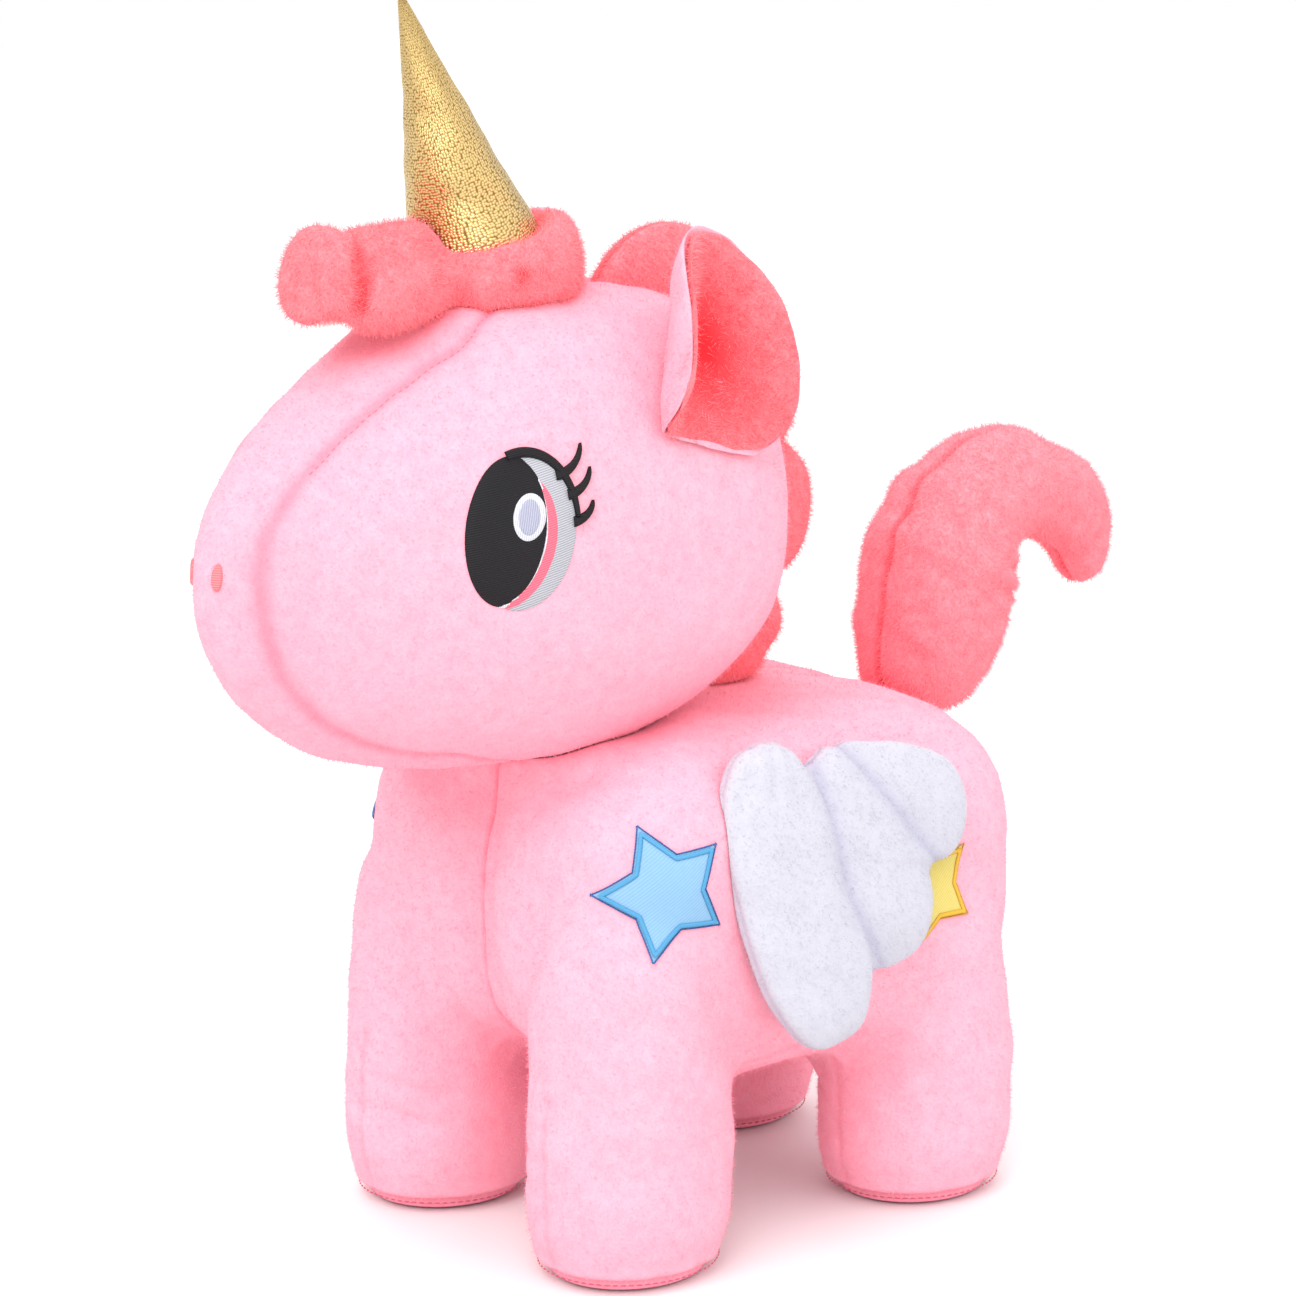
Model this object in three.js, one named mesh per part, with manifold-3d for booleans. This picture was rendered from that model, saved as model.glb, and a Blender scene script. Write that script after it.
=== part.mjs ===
// Plush unicorn, standing on four stuffed legs: sewn covers over fibre fill, with appliqued
// stars, embroidered eyes, padded wings, a scalloped mane, a curled tail and a foil horn.
// Millimetres, +Z up. The nose points along -Y, the toy's left side is +X, and Z = 0 is the
// ground. The group is shifted so that the middle of its box is on the Z axis.
import * as THREE from "three";
import { mergeVertices } from "three/addons/utils/BufferGeometryUtils.js";
import Module from "manifold-3d";

const wasm = await Module();
wasm.setup();

// ---------------------------------------------------------------- driving dimensions

const FABRIC = 2; // knitted plush with its pile, as sewn
const GAP = 0.3; // between pieces that touch
const PLAY = 2.5; // soft seam between pieces that flex against each other
const REACH = 400; // past every piece

const BODY = {
  halfWidth: 78, halfLength: 96, halfHeight: 62,
  centre: new THREE.Vector3(0, 4, 110),
  planRoundness: 4.5, // superellipse power seen from above
  sideRoundness: 3.1, // and seen from the side
};
const BELLY_PANEL = { halfWidth: 49, top: 62 };

const LEG = {
  x: 49, frontY: -66, rearY: 58,
  halfWidth: 33, halfLength: 36, hem: 0.6, // the cover stops short of the ground
  soleShare: 0.74, heelHeight: 10, heelShare: 0.93, bulgeHeight: 27,
  waistHeight: 62, waistShare: 0.97, shoulderHeight: 104, shoulderShare: 0.86, top: 132,
};
const SOLE_THICKNESS = 3;

const HEAD = {
  noseY: -188, length: 206, axisZ: 234,
  halfWidth: 64, crown: 74, chin: 75,
  widestShare: 0.66, crownShare: 0.6, chinShare: 0.52, // along the length, from the nose
  fullness: 2.5, // power of the outline along the head
  roundness: 2.25, // power of its cross-section
};
const NECK = { y: -39, radius: 47, rim: 20, seam: 9, turn: 12 };
const FACE_PANEL = { noseHalf: 15, browHalf: 27, browY: -112, backY: -36 };

const EYE = {
  centre: new THREE.Vector3(55, -112, 244), facing: 66, lift: 4, // degrees from the nose, and up
  slant: 7, lid: 1.5, lash: 2.2, stitch: 1.2,
};
// Half width, half height and middle of each oval. The one that comes later covers the one
// before it. The eye's own +X is towards the back of the head.
const EYE_OVALS = {
  grey: [17.6, 24.6, 0, 0], pink: [15.6, 23.2, -3.2, -0.6], pupil: [12.9, 23.6, -5.1, 0.6],
  shine: [6.1, 8.3, 2, 5],
};
// Where each lash leaves the lid, how far back it reaches and how far it rises.
const LASHES = [
  { x: 14, y: 18, reach: 5.5, rise: 8 }, { x: 17.6, y: 11.8, reach: 4.6, rise: 6.5 },
  { x: 18.6, y: 3.4, reach: 3.6, rise: 5 },
];
const LID = { front: -6, frontHeight: 10, back: 30, backHeight: 0, top: 40 };
const NOSTRIL = { x: 6.5, z: 233, halfWidth: 1.5, halfHeight: 4.2 };

const EAR = {
  centre: new THREE.Vector3(45, -34, 295), halfWidth: 24, halfLength: 36, cup: 15,
  layer: 2.6, lean: 7, rake: 17, facing: 84, taper: 0.28, point: 0.55,
  hinge: new THREE.Vector3(-8, -16, -12), // the foot of the ear from its centre
  hingeAxis: new THREE.Vector3(0.1, 0.45, -0.88).normalize(), // along that foot
  fold: 14,
};

const HORN = {
  base: new THREE.Vector3(0, -80, 305), length: 100, radius: 26, tipRadius: 1.6, tilt: 19,
  cover: 1.2, belly: 1.04, stem: 12, sway: 6,
};
const FORELOCK = {
  ringRadius: 29, ringHalfWidth: 6, ringHalfHeight: 13, ringLift: 9, ringTilt: 8,
  tuft: new THREE.Vector3(0, -134, 316), tuftHalf: new THREE.Vector3(24, 27, 18), tuftTilt: -10,
};

const MANE = { lobes: 4, halfLength: 25, halfThickness: 9, rise: 31, first: 0.728, last: 1.162 };

const TAIL = {
  line: [ // from the rump, up and back over to the tip
    new THREE.Vector3(0, 96, 150), new THREE.Vector3(0, 110, 180), new THREE.Vector3(0, 117, 208),
    new THREE.Vector3(0, 138, 224), new THREE.Vector3(0, 163, 221), new THREE.Vector3(0, 181, 205),
    new THREE.Vector3(0, 186, 184),
  ],
  radii: { root: 19, belly: 24.5, bend: 19, tip: 10 },
  hinge: 0.12, // share of the line at which the tail flexes
  wag: 20,
};

const WING = {
  hinge: new THREE.Vector3(69, 1, 166), lean: 13, halfThickness: 8, lift: 70,
  feathers: [ // middle from the hinge, half width, half length, and turn in degrees
    { y: -18, z: -47, halfWidth: 27, halfLength: 54, turn: 15 },
    { y: 14, z: -38, halfWidth: 25, halfLength: 40, turn: 15 },
    { y: 32, z: -23, halfWidth: 24, halfLength: 20, turn: 0 },
  ],
};

const STAR = {
  blue: { y: -71, z: 129, radius: 22, facing: -0.35 },
  yellow: { y: 39, z: 113, radius: 18, facing: 0 },
  waist: 0.57, turn: 38, border: 2.2, thickness: 1.2,
};

// Facets around, in fours where the right half mirrors the left, and along each rounded form.
const FACETS = {
  torso: [20, 12], leg: [12, 4], head: [16, 12], room: [12, 8], ear: [12, 6], mane: [8, 6],
  feather: [8, 6], tail: [12, 10], horn: [12, 3], ring: [14, 6], tuft: [12, 6], neck: 16,
};

// ---------------------------------------------------------------- colours

const PINK = { color: 0xfcc2d4, roughness: 0.95 };
const CORAL = { color: 0xfd7c86, roughness: 0.95 };
const WHITE = { color: 0xf3f2f8, roughness: 0.95 };
const FILL = { color: 0xf6f4ef, roughness: 1 };
const FOIL = { color: 0xd8b274, roughness: 0.35, metalness: 0.9 };

const UP = new THREE.Vector3(0, 0, 1);
const SIDES = [["left", 1], ["right", -1]];
const degrees = THREE.MathUtils.degToRad;

// ---------------------------------------------------------------- solids

/** The solid inside a closed geometry, with its faces turned outwards. */
function solid(geometry) {
  const bare = new THREE.BufferGeometry().setAttribute("position", geometry.getAttribute("position"));
  bare.setIndex(geometry.index);
  const merged = mergeVertices(bare, 1e-4);
  const triVerts = new Uint32Array(merged.index.array);
  const build = () =>
    new wasm.Manifold(
      new wasm.Mesh({ numProp: 3, vertProperties: merged.attributes.position.array, triVerts }),
    );
  const made = build();
  if (made.volume() > 0) return made;
  for (let i = 0; i < triVerts.length; i += 3)
    [triVerts[i + 1], triVerts[i + 2]] = [triVerts[i + 2], triVerts[i + 1]];
  return build();
}

/** The largest piece of a cut solid, without the offcuts. */
function mainPiece(cut) {
  return cut.decompose().reduce((a, b) => (a.volume() > b.volume() ? a : b));
}

/** A solid turned about a hinge line, in degrees. */
function turned(shape, hinge, angle) {
  const matrix = new THREE.Matrix4()
    .makeTranslation(hinge.point)
    .multiply(new THREE.Matrix4().makeRotationAxis(hinge.axis, degrees(angle)))
    .multiply(new THREE.Matrix4().makeTranslation(hinge.point.clone().negate()));
  return shape.transform(matrix.elements);
}

/** Everything that a solid passes through between two turns about a hinge line. */
function sweptTurn(shape, hinge, low, high, steps) {
  const places = Array.from({ length: steps + 1 }, (_, i) => low + ((high - low) * i) / steps);
  return places.map((angle) => turned(shape, hinge, angle)).reduce((a, b) => a.add(b));
}

/** The same solid on the other side of the toy. */
function onSide(shape, side) {
  return side > 0 ? shape : shape.mirror([1, 0, 0]);
}

/** A box between two corners. */
function block(low, high) {
  const size = high.clone().sub(low);
  const middle = low.clone().add(high).multiplyScalar(0.5);
  return solid(new THREE.BoxGeometry(size.x, size.y, size.z).translate(middle.x, middle.y, middle.z));
}

/** The left half of space, from a little beside the middle plane. */
function leftSpace(away) {
  return block(new THREE.Vector3(away, -REACH, -REACH), new THREE.Vector3(REACH, REACH, REACH));
}

/** A unit sphere whose facets on its -X half are the mirror image of those on its +X half. */
function evenBall([around, along]) {
  const ball = new THREE.SphereGeometry(1, around, along);
  const corner = (row, column) => row * (around + 1) + column;
  const index = [];
  for (let row = 0; row < along; row++) {
    for (let column = 0; column < around; column++) {
      const [a, b] = [corner(row, column + 1), corner(row, column)];
      const [c, d] = [corner(row + 1, column), corner(row + 1, column + 1)];
      const mirrored = Math.cos((2 * Math.PI * (column + 0.5)) / around) > 0;
      if (row === 0) index.push(b, c, d);
      else if (row === along - 1) index.push(a, b, d);
      else if (mirrored) index.push(a, b, c, a, c, d);
      else index.push(a, b, d, b, c, d);
    }
  }
  return ball.setIndex(index);
}

/** A closed skin made by moving every point of a unit sphere. */
function formed(place, facets) {
  const ball = evenBall(facets);
  const points = ball.getAttribute("position");
  const p = new THREE.Vector3();
  for (let i = 0; i < points.count; i++) {
    p.fromBufferAttribute(points, i);
    points.setXYZ(i, ...place(p).toArray());
  }
  return solid(ball);
}

/** A rounded block whose outline is a superellipse from above and from the side. */
function cushion(centre, half, planPower, sidePower, facets) {
  return formed((p) => {
    const plan = (Math.abs(p.x) ** planPower + Math.abs(p.z) ** planPower) ** (1 / planPower);
    const size = (plan ** sidePower + Math.abs(p.y) ** sidePower) ** (-1 / sidePower);
    return new THREE.Vector3(p.x * half.x, -p.z * half.y, p.y * half.z).multiplyScalar(size).add(centre);
  }, facets);
}

/** Signed power, for the rings of a superellipse. */
const bowed = (value, power) => Math.sign(value) * Math.abs(value) ** power;

// ---------------------------------------------------------------- main forms

/** The torso with the neck that carries the head, its surface moved in by an amount. */
function torso(inset) {
  const half = new THREE.Vector3(BODY.halfWidth, BODY.halfLength, BODY.halfHeight).subScalar(inset);
  const trunk = cushion(BODY.centre, half, BODY.planRoundness, BODY.sideRoundness, FACETS.torso);
  const height = HEAD.axisZ - HEAD.chin + NECK.rim - BODY.centre.z;
  const column = new THREE.CylinderGeometry(NECK.radius - inset, NECK.radius - inset, height, FACETS.neck);
  const middle = BODY.centre.z + height / 2;
  return trunk.add(solid(column.rotateX(Math.PI / 2).translate(0, NECK.y, middle)));
}

/** A left leg: a stuffed column with a round heel, whose dome forms the shoulder or the hip. */
function leg(y, inset, bottom) {
  const outline = new THREE.SplineCurve([
    new THREE.Vector2(LEG.soleShare, 0),
    new THREE.Vector2(LEG.heelShare, LEG.heelHeight),
    new THREE.Vector2(1, LEG.bulgeHeight),
    new THREE.Vector2(LEG.waistShare, LEG.waistHeight),
    new THREE.Vector2(LEG.shoulderShare, LEG.shoulderHeight),
  ]).getPoints(FACETS.leg[1]);
  const profile = [
    new THREE.Vector2(0, bottom),
    ...outline.map((p) => new THREE.Vector2(p.x * LEG.halfWidth - inset, Math.max(p.y, bottom))),
    new THREE.Vector2(0, LEG.top - inset),
  ];
  const stretch = (LEG.halfLength - inset) / (LEG.halfWidth - inset);
  if (bottom < 0) profile.splice(1, 0, new THREE.Vector2(profile[1].x, bottom));
  const column = new THREE.LatheGeometry(profile, FACETS.leg[0]).rotateX(Math.PI / 2).scale(1, stretch, 1);
  return solid(column.translate(LEG.x, y, 0));
}

const LEG_ROWS = { front: LEG.frontY, rear: LEG.rearY };

/** Half width, or height above or below its axis, of the head at a share of its length. */
function headReach(share, size, widest) {
  const skewed = share ** (Math.log(0.5) / Math.log(widest));
  return size * (1 - Math.abs(1 - 2 * skewed) ** HEAD.fullness) ** (1 / HEAD.fullness);
}

/** The head, with its surface moved in by an amount. */
function head(inset, facets = FACETS.head) {
  return formed((p) => {
    const share = (1 - p.y) / 2;
    const ring = Math.atan2(p.z, p.x);
    const across = bowed(Math.cos(ring), 2 / HEAD.roundness);
    const up = bowed(Math.sin(ring), 2 / HEAD.roundness);
    const height = up > 0
      ? headReach(share, HEAD.crown - inset, HEAD.crownShare)
      : headReach(share, HEAD.chin - inset, HEAD.chinShare);
    const width = headReach(share, HEAD.halfWidth - inset, HEAD.widestShare);
    const y = HEAD.noseY + inset + share * (HEAD.length - 2 * inset);
    return new THREE.Vector3(across * width, y, HEAD.axisZ + up * height);
  }, facets);
}

/** A prism along a direction, from a flat outline whose own +Y is as near up as it can be. */
function punch(shape, middle, direction, depth = 60) {
  const back = direction.clone().normalize();
  const across = new THREE.Vector3().crossVectors(UP, back).normalize();
  const up = new THREE.Vector3().crossVectors(back, across);
  const place = new THREE.Matrix4().makeBasis(across, up, back).setPosition(middle);
  const bar = new THREE.ExtrudeGeometry(shape, { depth, bevelEnabled: false, curveSegments: 8 });
  return solid(bar.translate(0, 0, -depth / 2).applyMatrix4(place));
}

/** A five-pointed star outline, its edges moved in by an amount. */
function starOutline(radius, inset) {
  const shape = new THREE.Shape();
  const tip = radius - inset / Math.sin(degrees(27)); // half the angle of a tip
  const notch = tip * STAR.waist;
  for (let i = 0; i < 10; i++) {
    const angle = degrees(STAR.turn + 36 * i);
    const reach = i % 2 ? notch : tip;
    shape[i ? "lineTo" : "moveTo"](reach * Math.cos(angle), reach * Math.sin(angle));
  }
  return shape.closePath();
}

// ---------------------------------------------------------------- the neck joint

const NECK_HINGE = { point: new THREE.Vector3(0, NECK.y, HEAD.axisZ), axis: UP };
const HEAD_ROOM = sweptTurn(head(-PLAY, FACETS.room), NECK_HINGE, -NECK.turn, NECK.turn, 2);
// The head's cover is open where it is sewn to the neck.
const neckHole = NECK.radius - NECK.seam;
const OPEN_NECK = solid(new THREE.CylinderGeometry(neckHole, neckHole, HEAD.chin, FACETS.neck)
  .rotateX(Math.PI / 2).translate(0, NECK.y, HEAD.axisZ - HEAD.chin));

const root = new THREE.Group();

/** Adds a piece and its mirror image, named for their sides. */
function paired(name, left, finish) {
  SIDES.forEach(([sideName, side]) => piece(`${name}_${sideName}`, onSide(left, side), finish));
}

/** Adds a named piece with a finish of its own. */
function piece(name, shape, finish) {
  const mesh = shape.getMesh();
  const geometry = new THREE.BufferGeometry();
  geometry.setAttribute("position", new THREE.BufferAttribute(mesh.vertProperties, 3));
  geometry.setIndex(new THREE.BufferAttribute(mesh.triVerts, 1));
  geometry.computeVertexNormals();
  const made = new THREE.Mesh(geometry, new THREE.MeshStandardMaterial(finish));
  made.name = name;
  root.add(made);
}

// ---------------------------------------------------------------- torso, legs and soles

/** Torso and legs together, with their surface moved in by an amount. */
function figure(inset, legBottom) {
  const legs = Object.values(LEG_ROWS).map((y) => leg(y, inset, legBottom)).reduce((a, b) => a.add(b));
  return torso(inset).add(legs).add(onSide(legs, -1));
}

/** The underside panel's space between the leg seams, grown by an amount. */
function bellySpace(grow) {
  const half = BELLY_PANEL.halfWidth + grow;
  const reach = 2 * BODY.halfLength;
  return block(new THREE.Vector3(-half, -reach, -1), new THREE.Vector3(half, reach, BELLY_PANEL.top + grow));
}

const skin = figure(0, LEG.hem).subtract(figure(FABRIC, -FABRIC)).subtract(HEAD_ROOM);
const bodySide = mainPiece(skin.subtract(bellySpace(GAP)).intersect(leftSpace(GAP / 2)));
paired("body_side", bodySide, PINK);
piece("belly_panel", mainPiece(skin.intersect(bellySpace(0))), PINK);
piece("body_fill", mainPiece(torso(FABRIC + GAP).subtract(HEAD_ROOM)), FILL);

Object.entries(LEG_ROWS).forEach(([end, y]) => {
  const column = leg(y, FABRIC + GAP, SOLE_THICKNESS + GAP);
  paired(`leg_fill_${end}`, mainPiece(column.subtract(torso(FABRIC)).subtract(HEAD_ROOM)), FILL);
  const across = LEG.soleShare * LEG.halfWidth - FABRIC - GAP;
  const stretch = (LEG.halfLength - FABRIC) / (LEG.halfWidth - FABRIC);
  const disc = new THREE.CylinderGeometry(across, across, SOLE_THICKNESS, FACETS.leg[0]);
  const flat = disc.rotateX(Math.PI / 2).scale(1, stretch, 1);
  paired(`sole_${end}`, solid(flat.translate(LEG.x, y, SOLE_THICKNESS / 2)), PINK);
});

// ---------------------------------------------------------------- stars on the flanks

const FLANK_PATCH = figure(-GAP - STAR.thickness, 0).subtract(figure(-GAP, -FABRIC));
const STAR_FINISH = {
  blue: { patch: { color: 0xa5d2f4, roughness: 0.8 }, border: { color: 0x5bb4e0, roughness: 0.6 } },
  yellow: { patch: { color: 0xf6e07c, roughness: 0.8 }, border: { color: 0xf5c332, roughness: 0.6 } },
};
Object.entries(STAR_FINISH).forEach(([colour, finish]) => {
  const { y, z, radius, facing } = STAR[colour];
  const middle = new THREE.Vector3(BODY.halfWidth, y, z);
  const cut = (inset) => punch(starOutline(radius, inset), middle, new THREE.Vector3(1, facing, 0));
  const patch = mainPiece(FLANK_PATCH.intersect(cut(STAR.border)));
  const border = mainPiece(FLANK_PATCH.intersect(cut(0).subtract(cut(STAR.border - GAP))));
  paired(`star_${colour}`, patch, finish.patch);
  paired(`star_${colour}_border`, border, finish.border);
});

// ---------------------------------------------------------------- head

/** The face panel's space, from the brow round the nose to the chin, grown by an amount. */
function faceSpace(grow) {
  const { noseHalf, browHalf, browY, backY } = FACE_PANEL;
  const tip = HEAD.noseY - 20;
  const plan = new THREE.Shape([
    new THREE.Vector2(-noseHalf - grow, tip), new THREE.Vector2(noseHalf + grow, tip),
    new THREE.Vector2(browHalf + grow, browY), new THREE.Vector2(0, backY + 2 * grow),
    new THREE.Vector2(-browHalf - grow, browY),
  ]);
  return solid(new THREE.ExtrudeGeometry(plan, { depth: 4 * HEAD.crown, bevelEnabled: false }));
}

const faceCut = faceSpace(0).translate([0, 0, HEAD.axisZ - 2 * HEAD.crown]);
const sideCut = faceSpace(GAP).translate([0, 0, HEAD.axisZ - 2 * HEAD.crown]);
const headSkin = head(0).subtract(head(FABRIC)).subtract(OPEN_NECK);
paired("head_side", mainPiece(headSkin.subtract(sideCut).intersect(leftSpace(GAP / 2))), PINK);
piece("face_panel", mainPiece(headSkin.intersect(faceCut)), PINK);
piece("head_fill", head(FABRIC + GAP), FILL);

// ---------------------------------------------------------------- eyes and nostrils

const FACE_PATCH = head(-GAP - EYE.stitch).subtract(head(-GAP));
const eyeFacing = new THREE.Vector3().setFromSphericalCoords(
  1, degrees(90 - EYE.lift), degrees(EYE.facing),
);
const eyeDirection = new THREE.Vector3(eyeFacing.x, -eyeFacing.z, eyeFacing.y);
const eyeCut = (shape) => punch(shape, EYE.centre, eyeDirection, 36);

/** The cutter for one oval of the eye, its edge moved in by an amount. */
function ovalCut(name, inset = 0) {
  const [halfWidth, halfHeight, x, y] = EYE_OVALS[name];
  const slant = degrees(-EYE.slant);
  const outline = new THREE.Shape().absellipse(
    x, y, halfWidth - inset, halfHeight - inset, 0, 2 * Math.PI, false, slant,
  );
  return eyeCut(outline);
}

/** The cutter for one lash: a stroke that leaves the lid backwards and curls up to a point. */
function lashCut({ x, y, reach, rise }) {
  const half = EYE.lash / 2;
  const stroke = new THREE.Shape().moveTo(x - half, y - half);
  stroke.quadraticCurveTo(x + reach + half, y - half, x + reach, y + rise);
  stroke.quadraticCurveTo(x + 0.6 * reach, y + 2 * half, x - half, y + half);
  return eyeCut(stroke.closePath());
}

/** The cutter for the upper lid: a band round the back of the eye, with its three lashes. */
function lidCut() {
  const above = new THREE.Shape([
    new THREE.Vector2(LID.front, LID.frontHeight), new THREE.Vector2(LID.back, LID.backHeight),
    new THREE.Vector2(LID.back, LID.top), new THREE.Vector2(LID.front, LID.top),
  ]);
  const band = ovalCut("grey", -EYE.lid).intersect(eyeCut(above));
  return LASHES.map(lashCut).reduce((a, b) => a.add(b), band)
    .subtract(ovalCut("grey", -GAP))
    .subtract(ovalCut("pupil", -GAP));
}

const THREAD = { roughness: 0.6 };
const eyePieces = {
  pupil: [ovalCut("pupil").subtract(ovalCut("shine", -GAP)), 0x211c23],
  pink_ring: [ovalCut("pink").subtract(ovalCut("pupil", -GAP)), 0xfa8296],
  grey_ring: [ovalCut("grey").subtract(ovalCut("pink", -GAP)).subtract(ovalCut("pupil", -GAP)), 0xd2d2d8],
  shine: [ovalCut("shine"), 0xe6e6f0],
  lashes: [lidCut(), 0x211c23],
};
Object.entries(eyePieces).forEach(([part, [cut, color]]) =>
  paired(`eye_${part}`, mainPiece(FACE_PATCH.intersect(cut)), { ...THREAD, color }),
);

const nostrilMiddle = new THREE.Vector3(NOSTRIL.x, HEAD.noseY, NOSTRIL.z);
const nostrilOval = new THREE.Shape().absellipse(0, 0, NOSTRIL.halfWidth, NOSTRIL.halfHeight, 0, 2 * Math.PI);
const nostrilHole = punch(nostrilOval, nostrilMiddle, new THREE.Vector3(0, -1, 0));
paired("nostril", mainPiece(FACE_PATCH.intersect(nostrilHole)), { color: 0xf4a9b4, roughness: 0.7 });

// ---------------------------------------------------------------- horn

const HORN_HINGE = { point: HORN.base.clone(), axis: new THREE.Vector3(1, 0, 0) };

/** The horn: a slightly bulging cone on a short stem, with its surface moved in by an amount. */
function cone(inset, stem) {
  const slope = new THREE.QuadraticBezierCurve(
    new THREE.Vector2(HORN.radius - inset, 0),
    new THREE.Vector2(HORN.radius * 0.5 * HORN.belly - inset, HORN.length * 0.5),
    new THREE.Vector2(HORN.tipRadius, HORN.length - 8 * inset),
  ).getPoints(FACETS.horn[1]);
  const profile = [
    new THREE.Vector2(0, -stem), new THREE.Vector2(HORN.radius - inset, -stem), ...slope,
    new THREE.Vector2(0, HORN.length + HORN.tipRadius - 8 * inset),
  ];
  const spun = new THREE.LatheGeometry(profile, FACETS.horn[0]).rotateX(Math.PI / 2);
  return solid(spun.rotateX(degrees(HORN.tilt)).translate(...HORN.base.toArray()));
}

const headUnderHorn = sweptTurn(head(-PLAY, FACETS.room), HORN_HINGE, -HORN.sway, HORN.sway, 2);
const hornHollow = cone(HORN.cover, 2 * HORN.stem);
const hornCover = cone(0, HORN.stem).subtract(hornHollow).subtract(headUnderHorn);
const hornFill = cone(HORN.cover + GAP, HORN.stem).subtract(headUnderHorn);
piece("horn_cover", mainPiece(hornCover), FOIL);
piece("horn_fill", mainPiece(hornFill), FILL);

// ---------------------------------------------------------------- forelock

const hornRoom = sweptTurn(cone(-GAP, 3 * HORN.stem), HORN_HINGE, -HORN.sway, HORN.sway, 2);

/** The plush collar round the foot of the horn, grown by an amount. */
function collar(grow) {
  const { ringRadius, ringLift, ringHalfWidth, ringHalfHeight } = FORELOCK;
  const section = new THREE.EllipseCurve(ringRadius, ringLift, ringHalfWidth + grow, ringHalfHeight + grow);
  const band = new THREE.LatheGeometry(section.getPoints(FACETS.ring[1]), FACETS.ring[0]);
  const tilted = band.rotateX(Math.PI / 2).rotateX(degrees(FORELOCK.ringTilt));
  return solid(tilted.translate(...HORN.base.toArray()));
}

const tuftBall = cushion(new THREE.Vector3(), FORELOCK.tuftHalf, 2.4, 2.2, FACETS.tuft);
const tuft = tuftBall.rotate([-FORELOCK.tuftTilt, 0, 0]).translate(FORELOCK.tuft.toArray());
const headTop = head(-GAP);
piece("forelock_wrap", mainPiece(collar(0).subtract(hornRoom).subtract(headTop)), CORAL);
const tuftCut = tuft.subtract(collar(GAP)).subtract(hornRoom).subtract(headTop);
piece("forelock_tuft", mainPiece(tuftCut), CORAL);

// ---------------------------------------------------------------- mane

/** A point and outward direction on the middle line of the head, at an angle from the nose. */
function crest(turns) {
  const angle = Math.PI * turns;
  const middle = HEAD.noseY + HEAD.length / 2;
  const lift = Math.sin(angle);
  const point = new THREE.Vector3(
    0, middle - Math.cos(angle) * (HEAD.length / 2 + 4), HEAD.axisZ + lift * HEAD.crown,
  );
  const out = new THREE.Vector3(0, -Math.cos(angle) * HEAD.crown, lift * (HEAD.length / 2));
  return { point, out: out.normalize() };
}

/** One scallop of the mane, grown by an amount. */
function scallop(index, grow) {
  const share = MANE.first + ((MANE.last - MANE.first) * index) / (MANE.lobes - 1);
  const { point, out } = crest(share);
  const along = new THREE.Vector3().crossVectors(new THREE.Vector3(1, 0, 0), out);
  const place = new THREE.Matrix4().makeBasis(new THREE.Vector3(1, 0, 0), out, along).setPosition(point);
  const half = new THREE.Vector3(MANE.halfThickness, MANE.rise, MANE.halfLength).addScalar(grow);
  return cushion(new THREE.Vector3(), half, 2.2, 2.3, FACETS.mane).transform(place.elements);
}

for (let i = 0; i < MANE.lobes; i++) {
  const lobe = scallop(i, 0).subtract(headTop).subtract(torso(-PLAY));
  const beside = i ? lobe.subtract(scallop(i - 1, GAP)) : lobe;
  piece(`mane_lobe_${i + 1}`, mainPiece(beside), CORAL);
}

// ---------------------------------------------------------------- ears

/** One layer of the left ear: a cupped leaf, offset along its own thickness. */
function earLayer(offset) {
  const leaf = formed((p) => {
    const size = (Math.abs(p.x) ** 4 + Math.abs(p.y) ** 4 + Math.abs(p.z) ** 4) ** -0.25;
    const up = p.y * size;
    const across = p.x * size * (1 - EAR.taper * up) * (up > 0 ? Math.sqrt(1 - EAR.point * up * up) : 1);
    const bow = EAR.cup * across * across;
    return new THREE.Vector3(
      across * EAR.halfWidth, up * EAR.halfLength, offset + bow + p.z * size * (EAR.layer / 2),
    );
  }, FACETS.ear);
  const turn = new THREE.Euler(degrees(-EAR.lean), 0, degrees(-EAR.rake), "XYZ");
  const upright = new THREE.Matrix4().makeBasis(new THREE.Vector3(1, 0, 0), UP, new THREE.Vector3(0, -1, 0));
  const face = new THREE.Matrix4().makeRotationZ(degrees(EAR.facing));
  const place = new THREE.Matrix4().makeTranslation(EAR.centre)
    .multiply(face).multiply(upright).multiply(new THREE.Matrix4().makeRotationFromEuler(turn));
  return leaf.transform(place.elements);
}

const EAR_HINGE = { point: EAR.centre.clone().add(EAR.hinge), axis: EAR.hingeAxis };
const headByEar = sweptTurn(head(-PLAY, FACETS.room), EAR_HINGE, -EAR.fold, EAR.fold, 2);
const maneHalf = MANE.halfThickness + PLAY;
const maneRoom = block(new THREE.Vector3(-maneHalf, -REACH, 0), new THREE.Vector3(maneHalf, REACH, REACH));
[["outer", -1, PINK], ["inner", 1, CORAL]].forEach(([layer, sign, finish]) => {
  const leaf = earLayer(sign * (EAR.layer / 2 + GAP)).subtract(headByEar).subtract(maneRoom);
  paired(`ear_${layer}`, mainPiece(leaf), finish);
});

// ---------------------------------------------------------------- tail

const tailLine = new THREE.CatmullRomCurve3(TAIL.line);
const tailGirth = new THREE.SplineCurve([
  new THREE.Vector2(0, TAIL.radii.root), new THREE.Vector2(0.3, TAIL.radii.belly),
  new THREE.Vector2(0.62, TAIL.radii.bend), new THREE.Vector2(1, TAIL.radii.tip),
]);

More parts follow.
